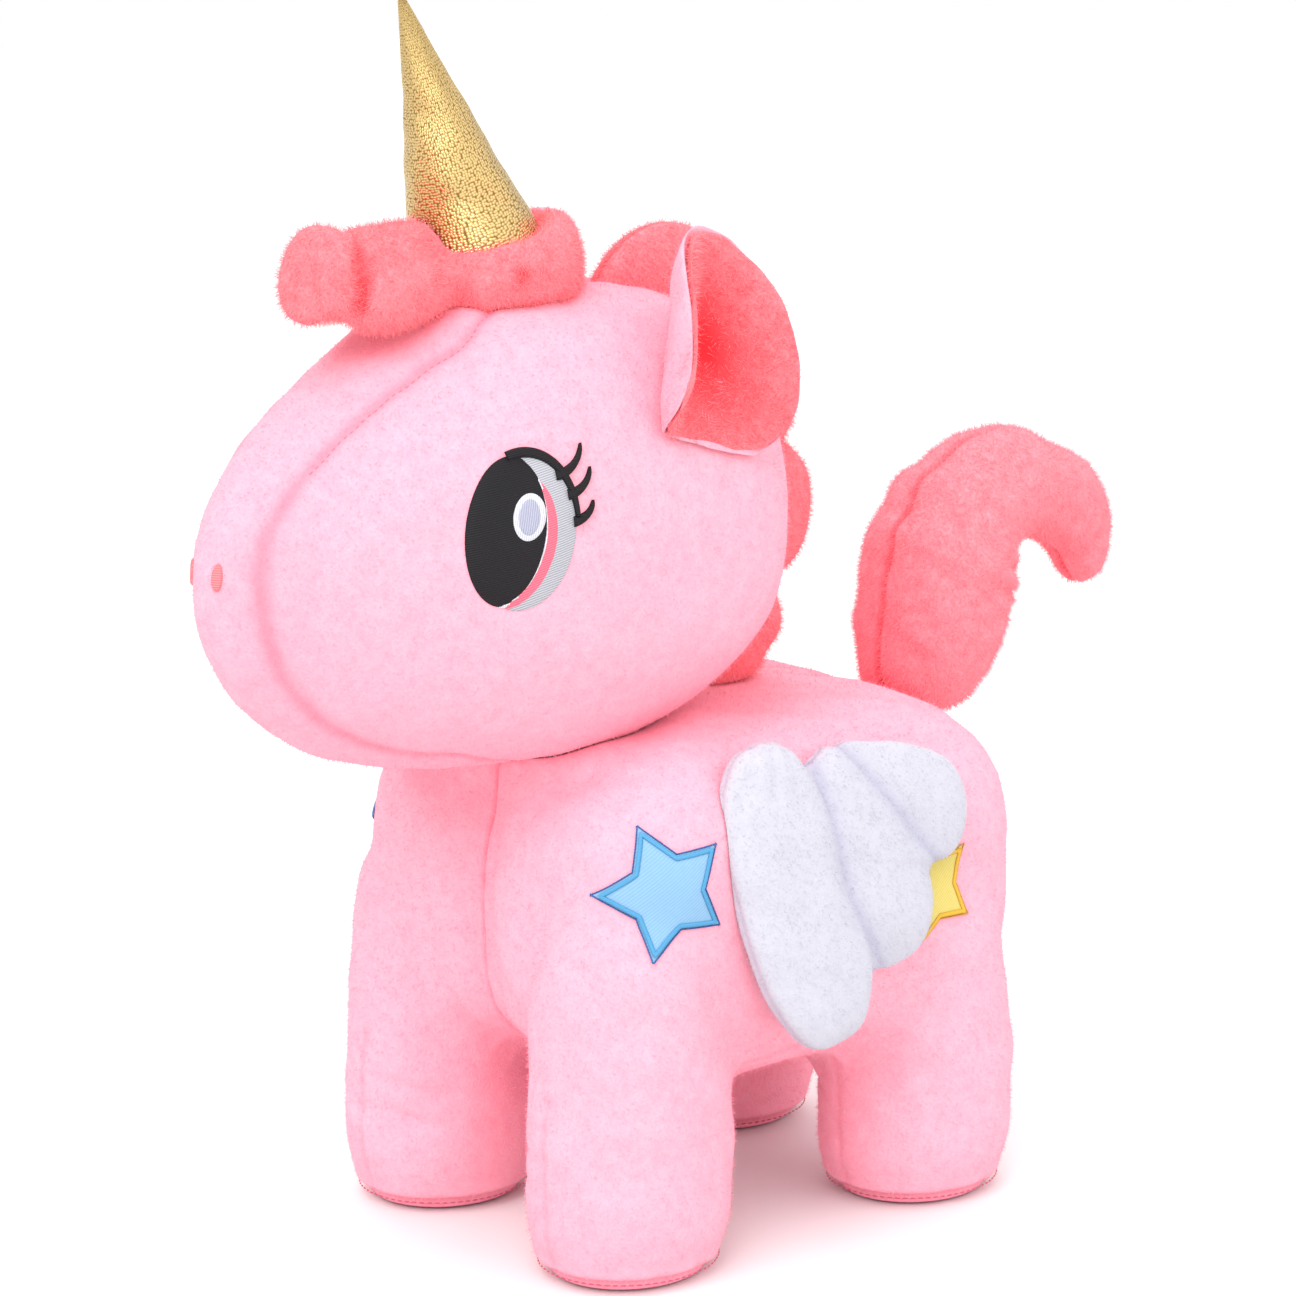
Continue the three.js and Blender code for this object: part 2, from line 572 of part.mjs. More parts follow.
/** The tail: a tube along its line that swells, narrows and closes round, moved in by an amount. */
function tailForm(inset) {
  const trim = inset / tailLine.getLength();
  return formed((p) => {
    const share = (1 - p.y) / 2;
    const place = trim + share * (1 - 2 * trim);
    const ends = Math.sqrt(1 - Math.abs(2 * share - 1) ** 6);
    const girth = (tailGirth.getPoint(place).y - inset) * ends;
    const out = new THREE.Vector3().crossVectors(tailLine.getTangentAt(place), new THREE.Vector3(1, 0, 0));
    const ring = Math.atan2(p.z, p.x);
    return tailLine.getPointAt(place)
      .addScaledVector(out, girth * Math.sin(ring))
      .add(new THREE.Vector3(girth * Math.cos(ring), 0, 0));
  }, FACETS.tail);
}

const TAIL_HINGE = { point: tailLine.getPointAt(TAIL.hinge), axis: UP };
const rumpRoom = sweptTurn(torso(-PLAY), TAIL_HINGE, -TAIL.wag, TAIL.wag, 2);
const tailSkin = tailForm(0).subtract(tailForm(FABRIC)).subtract(rumpRoom);
paired("tail_cover", mainPiece(tailSkin.intersect(leftSpace(GAP / 2))), CORAL);
piece("tail_fill", mainPiece(tailForm(FABRIC + GAP).subtract(rumpRoom)), FILL);

// ---------------------------------------------------------------- wings

/** The left wing: three padded feathers side by side, their surface moved in by an amount. */
function wingForm(inset) {
  const feathers = WING.feathers.map(({ y, z, halfWidth, halfLength, turn }) => {
    const half = new THREE.Vector3(WING.halfThickness, halfWidth, halfLength).subScalar(inset);
    const pad = cushion(new THREE.Vector3(), half, 2.6, 2.4, FACETS.feather);
    return pad.rotate([turn, 0, 0]).translate([0, y, z]);
  });
  const hanging = feathers.reduce((a, b) => a.add(b)).rotate([0, -WING.lean, 0]);
  return hanging.translate(WING.hinge.toArray());
}

const WING_HINGE = { point: WING.hinge, axis: new THREE.Vector3(0, 1, 0) };
const flankRoom = sweptTurn(figure(-PLAY, 0), WING_HINGE, 0, WING.lift, 2);
const midPlane = (grow) =>
  leftSpace(-grow)
    .rotate([0, -WING.lean, 0]).translate(WING.hinge.toArray());
const wingSkin = wingForm(0).subtract(wingForm(FABRIC)).subtract(flankRoom);
const wingPieces = {
  wing_front: [wingSkin.intersect(midPlane(0)), WHITE],
  wing_back: [wingSkin.subtract(midPlane(GAP)), WHITE],
  wing_fill: [wingForm(FABRIC + GAP).subtract(flankRoom), FILL],
};
Object.entries(wingPieces).forEach(([part, [shape, finish]]) => paired(part, mainPiece(shape), finish));

const box = new THREE.Box3().setFromObject(root);
root.position.set(0, -(box.min.y + box.max.y) / 2, -box.min.z);

export default root;
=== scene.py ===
"""Looks of a plush unicorn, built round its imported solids.

A Form holds lengths in millimetres in the toy's own frame, +Z up, the nose along -Y and the
toy's left side along +X. It becomes an object in metres, in the row's frame, at the end.
"""
import logging
import math
from dataclasses import dataclass, field
from enum import Enum
from typing import Any, Callable, Sequence

import bpy
import numpy as np
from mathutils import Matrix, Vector
from mathutils.bvhtree import BVHTree


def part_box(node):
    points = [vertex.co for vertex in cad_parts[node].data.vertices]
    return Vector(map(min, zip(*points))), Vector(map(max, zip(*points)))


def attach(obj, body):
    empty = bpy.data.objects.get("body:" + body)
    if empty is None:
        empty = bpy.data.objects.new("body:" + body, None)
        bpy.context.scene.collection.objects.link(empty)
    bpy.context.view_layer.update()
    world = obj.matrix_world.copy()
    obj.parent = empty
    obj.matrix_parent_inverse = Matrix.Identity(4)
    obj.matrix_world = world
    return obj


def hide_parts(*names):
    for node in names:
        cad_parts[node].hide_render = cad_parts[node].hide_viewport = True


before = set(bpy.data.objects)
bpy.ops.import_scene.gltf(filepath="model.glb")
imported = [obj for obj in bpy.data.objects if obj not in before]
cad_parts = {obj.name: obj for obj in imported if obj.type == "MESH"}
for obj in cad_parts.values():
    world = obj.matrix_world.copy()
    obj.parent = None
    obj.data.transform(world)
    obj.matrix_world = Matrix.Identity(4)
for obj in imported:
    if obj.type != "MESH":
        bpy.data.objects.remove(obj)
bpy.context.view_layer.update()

log = logging.getLogger("plush_unicorn")

Points = np.ndarray
MM = 0.001
FRONT_LEG_Y = -66.0
FLANK_X = 78.0
TURN = 2 * math.pi
WAVE_TURN = 20  # a wave texture turns this many radians in one unit at a scale of 1
MIX_FIRST, MIX_SECOND, MIX_RESULT = 6, 7, 2  # the colour sockets of a Mix node


def row_shift() -> float:
    """How far the row's frame lies behind the toy's own frame along Y.

    Returns:
        The shift in millimetres, read from the front left sole.
    """
    low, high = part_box("sole_front_left")
    return (low.y + high.y) / 2 / MM - FRONT_LEG_Y


SHIFT = np.array([0.0, row_shift(), 0.0])


class Side(Enum):
    """A side of the toy, with the sign of its X."""

    LEFT = 1
    RIGHT = -1

    @property
    def word(self) -> str:
        """The side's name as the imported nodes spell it."""
        return self.name.lower()


class Lay(Enum):
    """How a row of stitches lies on its seam."""

    ALONG = 0
    ACROSS = 1


# ---------------------------------------------------------------- colours and nodes


def srgb(code: str) -> tuple[float, float, float, float]:
    """Turns an sRGB hex colour to linear light.

    Args:
        code: Six hex digits.
    Returns:
        Red, green, blue and an alpha of 1.
    """
    parts = [int(code[i : i + 2], 16) / 255 for i in (0, 2, 4)]
    linear = [c / 12.92 if c <= 0.04045 else ((c + 0.055) / 1.055) ** 2.4 for c in parts]
    return (*linear, 1.0)


def add_node(
    tree: bpy.types.NodeTree, kind: str, inputs: dict[Any, Any] | None = None,
    stops: Sequence[tuple[float, str]] = (), **settings: Any,
) -> bpy.types.Node:
    """Adds a node with its settings, values and links.

    Args:
        tree: The tree to add to.
        kind: The node's type.
        inputs: Values or output sockets, by input name or number.
        stops: The places and hex colours of its two colour stops, if it has them.
        settings: Attributes of the node.
    Returns:
        The new node.
    """
    node = tree.nodes.new(kind)
    for name, value in settings.items():
        setattr(node, name, value)
    for key, value in (inputs or {}).items():
        if isinstance(value, bpy.types.NodeSocket):
            tree.links.new(value, node.inputs[key])
        else:
            node.inputs[key].default_value = value
    for i, (place, colour) in enumerate(stops):
        node.color_ramp.elements[i].position = place
        node.color_ramp.elements[i].color = srgb(colour)
    return node


def shown(name: str, data: bpy.types.ID | None) -> bpy.types.Object:
    """Puts data in the scene as a new object.

    Args:
        name: The object's name.
        data: Its mesh, light or camera.
    Returns:
        The object.
    """
    made = bpy.data.objects.new(name, data)
    bpy.context.scene.collection.objects.link(made)
    return made


def plain_mesh(holder: bpy.types.Object) -> bpy.types.Mesh:
    """Turns an object with modifiers into a mesh, and removes the object.

    Args:
        holder: The object.
    Returns:
        The mesh that its modifiers make.
    """
    depsgraph = bpy.context.evaluated_depsgraph_get()
    mesh = bpy.data.meshes.new_from_object(holder.evaluated_get(depsgraph))
    bpy.data.objects.remove(holder)
    return mesh


# ---------------------------------------------------------------- finishes


class Finish:
    """What a surface is made of: one shader, whose inputs each kind of finish works out."""

    name: str

    def inputs(self, tree: bpy.types.NodeTree) -> dict[str, Any]:
        """The shader's inputs, which each kind of finish gives."""
        raise NotImplementedError

    def material(self) -> bpy.types.Material:
        """Builds the finish.

        Returns:
            The material.
        """
        made = bpy.data.materials.new(self.name)
        made.use_nodes = True
        tree = made.node_tree
        tree.nodes.clear()
        shader = add_node(tree, "ShaderNodeBsdfPrincipled", self.inputs(tree))
        add_node(tree, "ShaderNodeOutputMaterial", {"Surface": shader.outputs[0]})
        return made

    def rows(
        self, tree: bpy.types.NodeTree, turn: float, pitch_mm: float, **wander: float
    ) -> bpy.types.NodeSocket:
        """Parallel rows over the piece's own UV map, which is in millimetres.

        Args:
            tree: The finish's tree.
            turn: The rows' turn on the cloth.
            pitch_mm: From one row to the next.
            wander: How the rows stray, by the wave texture's own inputs.
        Returns:
            The rows' height, from 0 to 1.
        """
        place = add_node(tree, "ShaderNodeUVMap", uv_map="Cloth").outputs[0]
        laid = add_node(tree, "ShaderNodeMapping", {"Vector": place, "Rotation": (0.0, 0.0, turn)})
        strays = {name.replace("_", " "): value for name, value in wander.items()}
        return add_node(
            tree, "ShaderNodeTexWave",
            {"Vector": laid.outputs[0], "Scale": TURN / pitch_mm / WAVE_TURN, **strays},
            wave_type="BANDS", bands_direction="X", wave_profile="SIN",
        ).outputs["Fac"]


@dataclass(frozen=True)
class PlushKnit(Finish):
    """Short pile polyester on a knitted ground: matt, soft-edged, paler where the nap catches light, with painted
    shade in its seams, creases and hollows.
    """

    name: str
    ground: str
    # deep: the colour of the painted shade in seams, creases and hollows
    deep: str
    pale: str
    sheen: float = 0.35
    clump_mm: float = 5.0
    nap_mm: float = 0.9
    nap_depth_mm: float = 0.35

    def inputs(self, tree: bpy.types.NodeTree) -> dict[str, Any]:
        """Mottles the nap; the "fold" attribute mixes in the deep colour as painted shade in seams, creases and
        hollows.

        Args:
            tree: The material's tree.
        Returns:
            The shader's inputs.
        """
        place = add_node(tree, "ShaderNodeTexCoord").outputs["Object"]
        clumps, nap = (
            add_node(
                tree, "ShaderNodeTexNoise",
                {"Vector": place, "Scale": 1 / (size * MM), "Detail": detail, "Roughness": rough},
            ).outputs["Fac"]
            for size, detail, rough in ((self.clump_mm, 3.0, 0.65), (self.nap_mm, 2.0, 0.6))
        )
        both = add_node(tree, "ShaderNodeMath", {0: clumps, 1: nap}, operation="ADD")
        half = add_node(tree, "ShaderNodeMath", {0: both.outputs[0], 1: 0.5}, operation="MULTIPLY")
        tone = add_node(
            tree, "ShaderNodeValToRGB", {"Fac": half.outputs[0]}, ((0.3, self.ground), (0.72, self.pale))
        )
        # Painted shade: the deep colour is mixed in as far as the fold attribute reaches.
        fold = add_node(tree, "ShaderNodeAttribute", attribute_name="fold")
        colour = add_node(
            tree, "ShaderNodeMix",
            {"Factor": fold.outputs["Fac"], MIX_FIRST: tone.outputs["Color"],
             MIX_SECOND: srgb(self.deep)},
            data_type="RGBA",
        )
        bump = add_node(
            tree, "ShaderNodeBump",
            {"Height": nap, "Strength": 0.7, "Distance": self.nap_depth_mm * MM},
        )
        return {
            "Base Color": colour.outputs[MIX_RESULT], "Roughness": 0.95, "Specular IOR Level": 0.2,
            "Normal": bump.outputs["Normal"],
            "Sheen Weight": self.sheen, "Sheen Roughness": 0.5, "Sheen Tint": srgb(self.pale),
        }


@dataclass(frozen=True)
class PileFibre(Finish):
    """One polyester fibre of the pile: a fine, soft filament that is brighter than the ground."""

    name: str
    colour: str

    def inputs(self, tree: bpy.types.NodeTree) -> dict[str, Any]:
        """The shader's inputs: one soft colour, as a single filament shows."""
        return {"Base Color": srgb(self.colour), "Roughness": 0.8, "Specular IOR Level": 0.25,
                "Sheen Weight": 0.3, "Sheen Roughness": 0.4}


@dataclass(frozen=True)
class SatinThread(Finish):
    """Trilobal polyester embroidery thread laid side by side: fine parallel ridges with a soft gloss."""

    name: str
    colour: str
    # edge: the colour of the painted shade in the grooves between the threads
    edge: str
    turn_degrees: float
    pitch_mm: float = 0.7  # two threads, as coarse as they need to show
    roughness: float = 0.42

    def inputs(self, tree: bpy.types.NodeTree) -> dict[str, Any]:
        """Lays the threads.

        Args:
            tree: The material's tree.
        Returns:
            The shader's inputs.
        """
        threads = self.rows(
            tree, math.radians(self.turn_degrees), self.pitch_mm,
            Distortion=0.6, Detail=1.0, Detail_Scale=1.5)
        # Painted shade: the edge colour fills the grooves between the threads.
        tone = add_node(
            tree, "ShaderNodeValToRGB", {"Fac": threads}, ((0.0, self.edge), (0.55, self.colour))
        )
        bump = add_node(
            tree, "ShaderNodeBump", {"Height": threads, "Strength": 0.8, "Distance": 0.18 * MM}
        )
        return {"Base Color": tone.outputs["Color"], "Roughness": self.roughness,
                "Specular IOR Level": 0.3, "Normal": bump.outputs["Normal"]}


@dataclass(frozen=True)
class PlainThread(Finish):
    """A single stitch of the same thread, seen as one smooth strand."""

    name: str
    colour: str

    def inputs(self, tree: bpy.types.NodeTree) -> dict[str, Any]:
        """The shader's inputs: one colour with a soft gloss."""
        return {"Base Color": srgb(self.colour), "Roughness": 0.45, "Specular IOR Level": 0.45}


@dataclass(frozen=True)
class TwillPatch(Finish):
    """Brushed polyester twill of an applique: flat, with a faint diagonal rib."""

    name: str
    colour: str
    shade: str
    rib_degrees: float = 52.0
    rib_mm: float = 0.9  # twice the real rib, as coarse as it needs to show

    def inputs(self, tree: bpy.types.NodeTree) -> dict[str, Any]:
        """Weaves the rib and brushes it.

        Args:
            tree: The material's tree.
        Returns:
            The shader's inputs.
        """
        ribs = self.rows(tree, math.radians(self.rib_degrees), self.rib_mm, Distortion=0.8, Detail=2.0)
        place = add_node(tree, "ShaderNodeUVMap", uv_map="Cloth").outputs[0]
        fuzz = add_node(tree, "ShaderNodeTexNoise", {"Vector": place, "Scale": 0.5, "Detail": 4.0})
        worn = add_node(
            tree, "ShaderNodeMath", {0: ribs, 1: fuzz.outputs["Fac"]}, operation="MULTIPLY"
        ).outputs[0]
        # The shade colour is painted shade in the grooves of the rib, and random tone where the brushing noise is
        # low.
        tone = add_node(
            tree, "ShaderNodeValToRGB", {"Fac": worn}, ((0.0, self.shade), (0.45, self.colour))
        )
        bump = add_node(
            tree, "ShaderNodeBump", {"Height": worn, "Strength": 0.5, "Distance": 0.15 * MM}
        )
        return {"Base Color": tone.outputs["Color"], "Roughness": 0.85,
                "Normal": bump.outputs["Normal"], "Sheen Weight": 0.25}


@dataclass(frozen=True)
class FoilKnit(Finish):
    """Tricot knit with a hot-stamped gold foil: metallic in fine dots, duller between them."""

    name: str = "Gold foil printed tricot"
    foil: str = "e4c888"
    hollow: str = "8a6230"
    dot_mm: float = 0.85  # twice the real gauge, as coarse as it needs to show

    def inputs(self, tree: bpy.types.NodeTree) -> dict[str, Any]:
        """Prints the foil's dots on the horn's own UV map, which is in millimetres.

        Args:
            tree: The material's tree.
        Returns:
            The shader's inputs.
        """
        place = add_node(tree, "ShaderNodeUVMap", uv_map="Cloth").outputs[0]
        dots = add_node(
            tree, "ShaderNodeTexVoronoi",
            {"Vector": place, "Scale": 1 / self.dot_mm, "Randomness": 0.6},
            voronoi_dimensions="2D", feature="F1",
        ).outputs["Distance"]
        worn = add_node(tree, "ShaderNodeTexNoise", {"Vector": place, "Scale": 0.08, "Detail": 4.0})
        gloss = add_node(
            tree, "ShaderNodeMapRange",
            {"Value": worn.outputs["Fac"], "From Min": 0.35, "From Max": 0.65, "To Min": 0.2,
             "To Max": 0.36},
        )
        domes = add_node(tree, "ShaderNodeMath", {0: 1.0, 1: dots}, operation="SUBTRACT")
        tone = add_node(
            tree, "ShaderNodeValToRGB", {"Fac": dots}, ((0.25, self.foil), (0.7, self.hollow))
        )
        bump = add_node(
            tree, "ShaderNodeBump",
            {"Height": domes.outputs[0], "Strength": 0.9, "Distance": 0.35 * MM},
        )
        return {"Base Color": tone.outputs["Color"], "Metallic": 0.95,
                "Roughness": gloss.outputs[0], "Normal": bump.outputs["Normal"]}


@dataclass(frozen=True)
class SeamlessPaper(Finish):
    """Matt white background paper with the faintest grain."""

    name: str = "White seamless paper"

    def inputs(self, tree: bpy.types.NodeTree) -> dict[str, Any]:
        """Grains the paper.

        Args:
            tree: The material's tree.
        Returns:
            The shader's inputs.
        """
        place = add_node(tree, "ShaderNodeTexCoord").outputs["Object"]
        grain = add_node(tree, "ShaderNodeTexNoise", {"Vector": place, "Scale": 60.0})
        tone = add_node(
            tree, "ShaderNodeMapRange", {"Value": grain.outputs["Fac"], "To Min": 0.78, "To Max": 0.79}
        )
        return {"Base Color": tone.outputs[0], "Roughness": 0.9}


@dataclass
class Wardrobe:
    """Every finish of the toy, made once."""

    made: dict[str, bpy.types.Material] = field(default_factory=dict)

    FINISHES = {
        # In each plush, the colour after the ground is the painted shade of its seams, creases and hollows.
        "pink": PlushKnit("Light pink short pile plush", "fb9eb2", "f4647c", "fdb5c5"),
        "sole": PlushKnit("Light pink short pile sole", "fa93a7", "f4647c", "fba6b8"),
        "coral": PlushKnit(
            "Coral rabbit pile plush", "fb5f6a", "f0232f", "fd9aa2", sheen=0.6, nap_depth_mm=0.6),
        "blush": PlushKnit(
            "Blush pile plush of the tail", "fb707d", "ee3c4c", "fda0aa", sheen=0.55, nap_depth_mm=0.6),
        "white": PlushKnit("White short pile plush", "bab9c3", "a3a0b8", "c5c4ce", sheen=0.25),
        "pink_fibre": PileFibre("Light pink pile fibre", "fda7b8"),
        "coral_fibre": PileFibre("Coral pile fibre", "fd949c"),
        "blush_fibre": PileFibre("Blush pile fibre", "fd9aa5"),
        "white_fibre": PileFibre("White pile fibre", "bebdc8"),
        "black": SatinThread(
            "Black satin stitch", "151117", "060507", turn_degrees=80, roughness=0.6),
        "pink_thread": SatinThread("Pink satin stitch", "f57589", "d9566c", turn_degrees=75),
        "grey": SatinThread("Silver grey satin stitch", "bcbcc2", "8e8e99", turn_degrees=75),
        "shine": SatinThread("Lavender grey satin stitch", "b4b5c8", "9597ae", turn_degrees=10),
        "rim": SatinThread("White satin stitch", "dedee3", "b9b9c4", turn_degrees=10),
        "salmon": SatinThread("Salmon satin stitch", "f0868c", "dc6a74", turn_degrees=90),
        "blue": TwillPatch("Pale blue brushed twill", "88b2d2", "7aa6ca"),
        "yellow": TwillPatch("Pale yellow brushed twill", "dac871", "cdb955"),
        "blue_stitch": PlainThread("Sky blue stitch", "4a98c4"),
        "navy_stitch": PlainThread("Navy stitch", "2a5b9c"),
        "gold_stitch": PlainThread("Golden yellow stitch", "dcae2c"),
        "amber_stitch": PlainThread("Amber stitch", "c98e2c"),
        "seam_stitch": PlainThread("Rose sewing thread", "ee7288"),
        "sole_stitch": PlainThread("Dark rose sewing thread", "c4506a"),
        "foil": FoilKnit(),
    }

    def __getitem__(self, name: str) -> bpy.types.Material:
        """The material of that name, made the first time that it is asked for."""
        if name not in self.made:
            self.made[name] = self.FINISHES[name].material()
        return self.made[name]


# ---------------------------------------------------------------- forms

FAR_OFF = 60.0  # a point this far from a surface can't be inside it
STEPS = 18  # frames of cloth simulation


class Form:
    """A surface being shaped, in millimetres: its points and its faces."""

    def __init__(self, points: Points, faces: Sequence[Sequence[int]]) -> None:
        """Keeps the points and faces.

        Args:
            points: One row of x, y, z for each point.
            faces: The point numbers of each face, anticlockwise from outside.
        """
        self.points = np.asarray(points, float)
        self.faces = [tuple(map(int, f)) for f in faces]

    @classmethod
    def of_mesh(cls, mesh: bpy.types.Mesh, scale: float = 1.0) -> "Form":
        """Reads a mesh.

        Args:
            mesh: The mesh to read.
            scale: The millimetres in one of its units.
        Returns:
            The form.
        """
        co = np.empty(len(mesh.vertices) * 3, np.float32)
        mesh.vertices.foreach_get("co", co)
        return cls(co.reshape(-1, 3).astype(float) * scale, [p.vertices[:] for p in mesh.polygons])

    @classmethod
    def ball(cls, place: Callable[[Points], Points], rows: int, columns: int) -> "Form":
        """A closed skin made by moving every point of a unit ball whose poles are on +Z and -Z.

        Args:
            place: Takes the ball's points and gives the skin's.
            rows: Faces from pole to pole.
            columns: Faces around.
        Returns:
            The form, with its faces outwards.
        """
        down = np.pi * np.arange(1, rows) / rows
        turn = TURN * np.arange(columns) / columns
        ring = np.stack(
            [np.outer(np.sin(down), np.cos(turn)), np.outer(np.sin(down), np.sin(turn)),
             np.outer(np.cos(down), np.ones(columns))], -1).reshape(-1, 3)
        points = np.vstack([[0, 0, 1], ring, [0, 0, -1]])
        last = len(points) - 1
        faces: list[tuple[int, ...]] = []
        for c in range(columns):
            n = (c + 1) % columns
            faces.append((0, 1 + c, 1 + n))
            for r in range(rows - 2):
                a, b = 1 + r * columns, 1 + (r + 1) * columns
                faces.append((a + c, b + c, b + n, a + n))
            b = 1 + (rows - 2) * columns
            faces.append((b + c, last, b + n))
        return cls(place(points), faces).outward()

    @classmethod
    def grid(cls, top: Points, bottom: Points) -> "Form":
        """A closed plate between two grids of points of the same size.

        Args:
            top: Rows by columns by 3.
            bottom: The same for the underside.
        Returns:
            The form.
        """
        rows, columns = top.shape[:2]
        count = rows * columns
        at = np.arange(count).reshape(rows, columns)
        faces: list[tuple[int, ...]] = []
        for r in range(rows - 1):
            for c in range(columns - 1):
                q = (at[r, c], at[r, c + 1], at[r + 1, c + 1], at[r + 1, c])
                faces += [q, tuple(count + i for i in reversed(q))]
        rim = [*at[0], *at[1:, -1], *at[-1, -2::-1], *at[-2:0:-1, 0]]
        for a, b in zip(rim, rim[1:] + rim[:1]):
            faces.append((b, a, count + a, count + b))
        return cls(np.vstack([top.reshape(-1, 3), bottom.reshape(-1, 3)]), faces).outward()

    def outward(self) -> "Form":
        """Turns every face round if the form is inside out.

        Returns:
            This form.
        """
        volume = 0.0
        for f in self.faces:
            a = self.points[f[0]]
            for b, c in zip(f[1:], f[2:]):
                volume += float(a @ np.cross(self.points[b], self.points[c]))
        if volume < 0:
            self.faces = [f[::-1] for f in self.faces]
        return self

    def mesh(self, name: str, scale: float = 1.0, shift: Points | None = None) -> bpy.types.Mesh:
        """Makes a mesh.

        Args:
            name: The mesh's name.
            scale: The mesh's units in one millimetre.
            shift: Added to every point first.
        Returns:
            The mesh, smooth shaded.
        """
        made = bpy.data.meshes.new(name)
        points = self.points if shift is None else self.points + shift
        made.from_pydata((points * scale).tolist(), [], self.faces)
        made.update()
        made.polygons.foreach_set("use_smooth", [True] * len(made.polygons))
        return made

    def modified(self, kind: str, **settings: Any) -> "Form":
        """The form after one of Blender's modifiers.

        Args:
            kind: The modifier's type.
            settings: Its attributes.
        Returns:
            The new form.
        """
        holder = shown("shaping", self.mesh("shaping"))
        change = holder.modifiers.new("change", kind)
        for name, value in settings.items():
            setattr(change, name, value)
        return Form.of_mesh(plain_mesh(holder))

    def welded(self, voxel: float) -> "Form":
        """One skin round everything, in even quads of about a voxel."""
        return self.modified("REMESH", mode="VOXEL", voxel_size=voxel)

    def smoothed(self, times: int) -> "Form":
        """The form with its edges softened."""
        return self.modified("SMOOTH", factor=0.5, iterations=times)

    def finer(self, levels: int) -> "Form":
        """The form with each face divided and rounded."""
        return self.modified("SUBSURF", levels=levels, render_levels=levels)

    def with_others(self, *others: "Form") -> "Form":
        """Puts this form and others together.

        Args:
            others: The other forms.
        Returns:
            All of them as one form.
        """
        points, faces = [self.points], list(self.faces)
        count = len(self.points)
        for other in others:
            faces += [tuple(i + count for i in f) for f in other.faces]
            points.append(other.points)
            count += len(other.points)
        return Form(np.vstack(points), faces)

    def mirrored(self) -> "Form":
        """The form on the other side of the toy."""
        return Form(self.points * [-1, 1, 1], [f[::-1] for f in self.faces])

    def on(self, side: Side) -> "Form":
        """The form as it is, or mirrored for the right side."""
        return self if side is Side.LEFT else self.mirrored()

    def normals(self) -> Points:
        """Measures the outward direction at every point.

        Returns:
            One row for each point.
        """
        mesh = self.mesh("measure")
        out = np.empty(len(mesh.vertices) * 3, np.float32)
        mesh.vertex_normals.foreach_get("vector", out)
        bpy.data.meshes.remove(mesh)
        return out.reshape(-1, 3).astype(float)

    def pushed(self, amount: Points) -> "Form":
        """Moves every point outwards by its own amount."""
        self.points = self.points + self.normals() * np.asarray(amount, float).reshape(-1, 1)
        return self

    def surface(self) -> BVHTree:
        """The form as a surface that can be searched."""
        return BVHTree.FromPolygons(self.points.tolist(), self.faces)

    def clear_of(self, other: BVHTree, gap: float, near: Points | None = None) -> "Form":
        """Moves the points that lie inside another form out of it.

        Args:
            other: The other form's surface.
            gap: The room to leave.
            near: Which points to test, or every point.
        Returns:
            This form.
        """
        for i in np.flatnonzero(near) if near is not None else range(len(self.points)):
            found, out, _, far = other.find_nearest(Vector(self.points[i]))
            if found is None or far > FAR_OFF:
                continue
            if (Vector(self.points[i]) - found).dot(out) < gap:
                self.points[i] = found + out * gap
        return self

    def inflated(self, held: Points, pressure: float, cap: float) -> "Form":
        """Puffs the form up as stuffed cloth, with the sewn points held.

        Args:
            held: True for the points that are sewn down.
            pressure: The stuffing's pressure.
            cap: The furthest a point may move, in millimetres.
        Returns:
            The puffed form.
        """
        holder = shown("stuffed", self.mesh("stuffed", MM))
        holder.vertex_groups.new(name="sewn").add(np.flatnonzero(held).tolist(), 1.0, "REPLACE")
        cloth = holder.modifiers.new("stuffing", "CLOTH")
        cloth.settings.quality = 5
        cloth.settings.mass = 0.3
        cloth.settings.vertex_group_mass = "sewn"
        cloth.settings.use_pressure = True
        cloth.settings.uniform_pressure_force = pressure
        cloth.settings.effector_weights.gravity = 0.0
        cloth.point_cache.frame_start, cloth.point_cache.frame_end = 1, STEPS
        for step in range(1, STEPS + 1):
            bpy.context.scene.frame_set(step)
        puffed = Form.of_mesh(plain_mesh(holder), 1 / MM)
        bpy.context.scene.frame_set(1)
        move = puffed.points - self.points
        far = np.linalg.norm(move, axis=1, keepdims=True)
        self.points = self.points + move * np.minimum(1.0, cap / np.maximum(far, 1e-6))
        return self


def superellipsoid(
    centre: Sequence[float], half: Sequence[float], plan: float, side: float,
    rows: int = 48, columns: int = 64,
) -> Form:
    """A rounded block whose outline is a superellipse from above and from the side.

    Args:
        centre: Its middle.
        half: Its half sizes.
        plan: The power of its outline from above.
        side: The power of its outline from the side.
        rows: Faces from top to bottom.
        columns: Faces around.
    Returns:
        The form.
    """

    def place(p: Points) -> Points:
        """Moves the unit ball's points to the block's skin."""
        flat = (np.abs(p[:, 0]) ** plan + np.abs(p[:, 1]) ** plan) ** (1 / plan)
        size = (flat**side + np.abs(p[:, 2]) ** side) ** (-1 / side)
        return p * np.array(half) * size[:, None] + np.array(centre)

    return Form.ball(place, rows, columns)


def turned_about(points: Points, axis: str, degrees: float) -> Points:
    """Turns points about an axis through the origin.

    Args:
        points: The points.
        axis: "x", "y" or "z".
        degrees: The right-handed turn.
    Returns:
        The turned points.
    """
    c, s = math.cos(math.radians(degrees)), math.sin(math.radians(degrees))
    spin = {
        "x": [[1, 0, 0], [0, c, -s], [0, s, c]],
        "y": [[c, 0, s], [0, 1, 0], [-s, 0, c]],
        "z": [[c, -s, 0], [s, c, 0], [0, 0, 1]],
    }[axis]
    return points @ np.array(spin).T


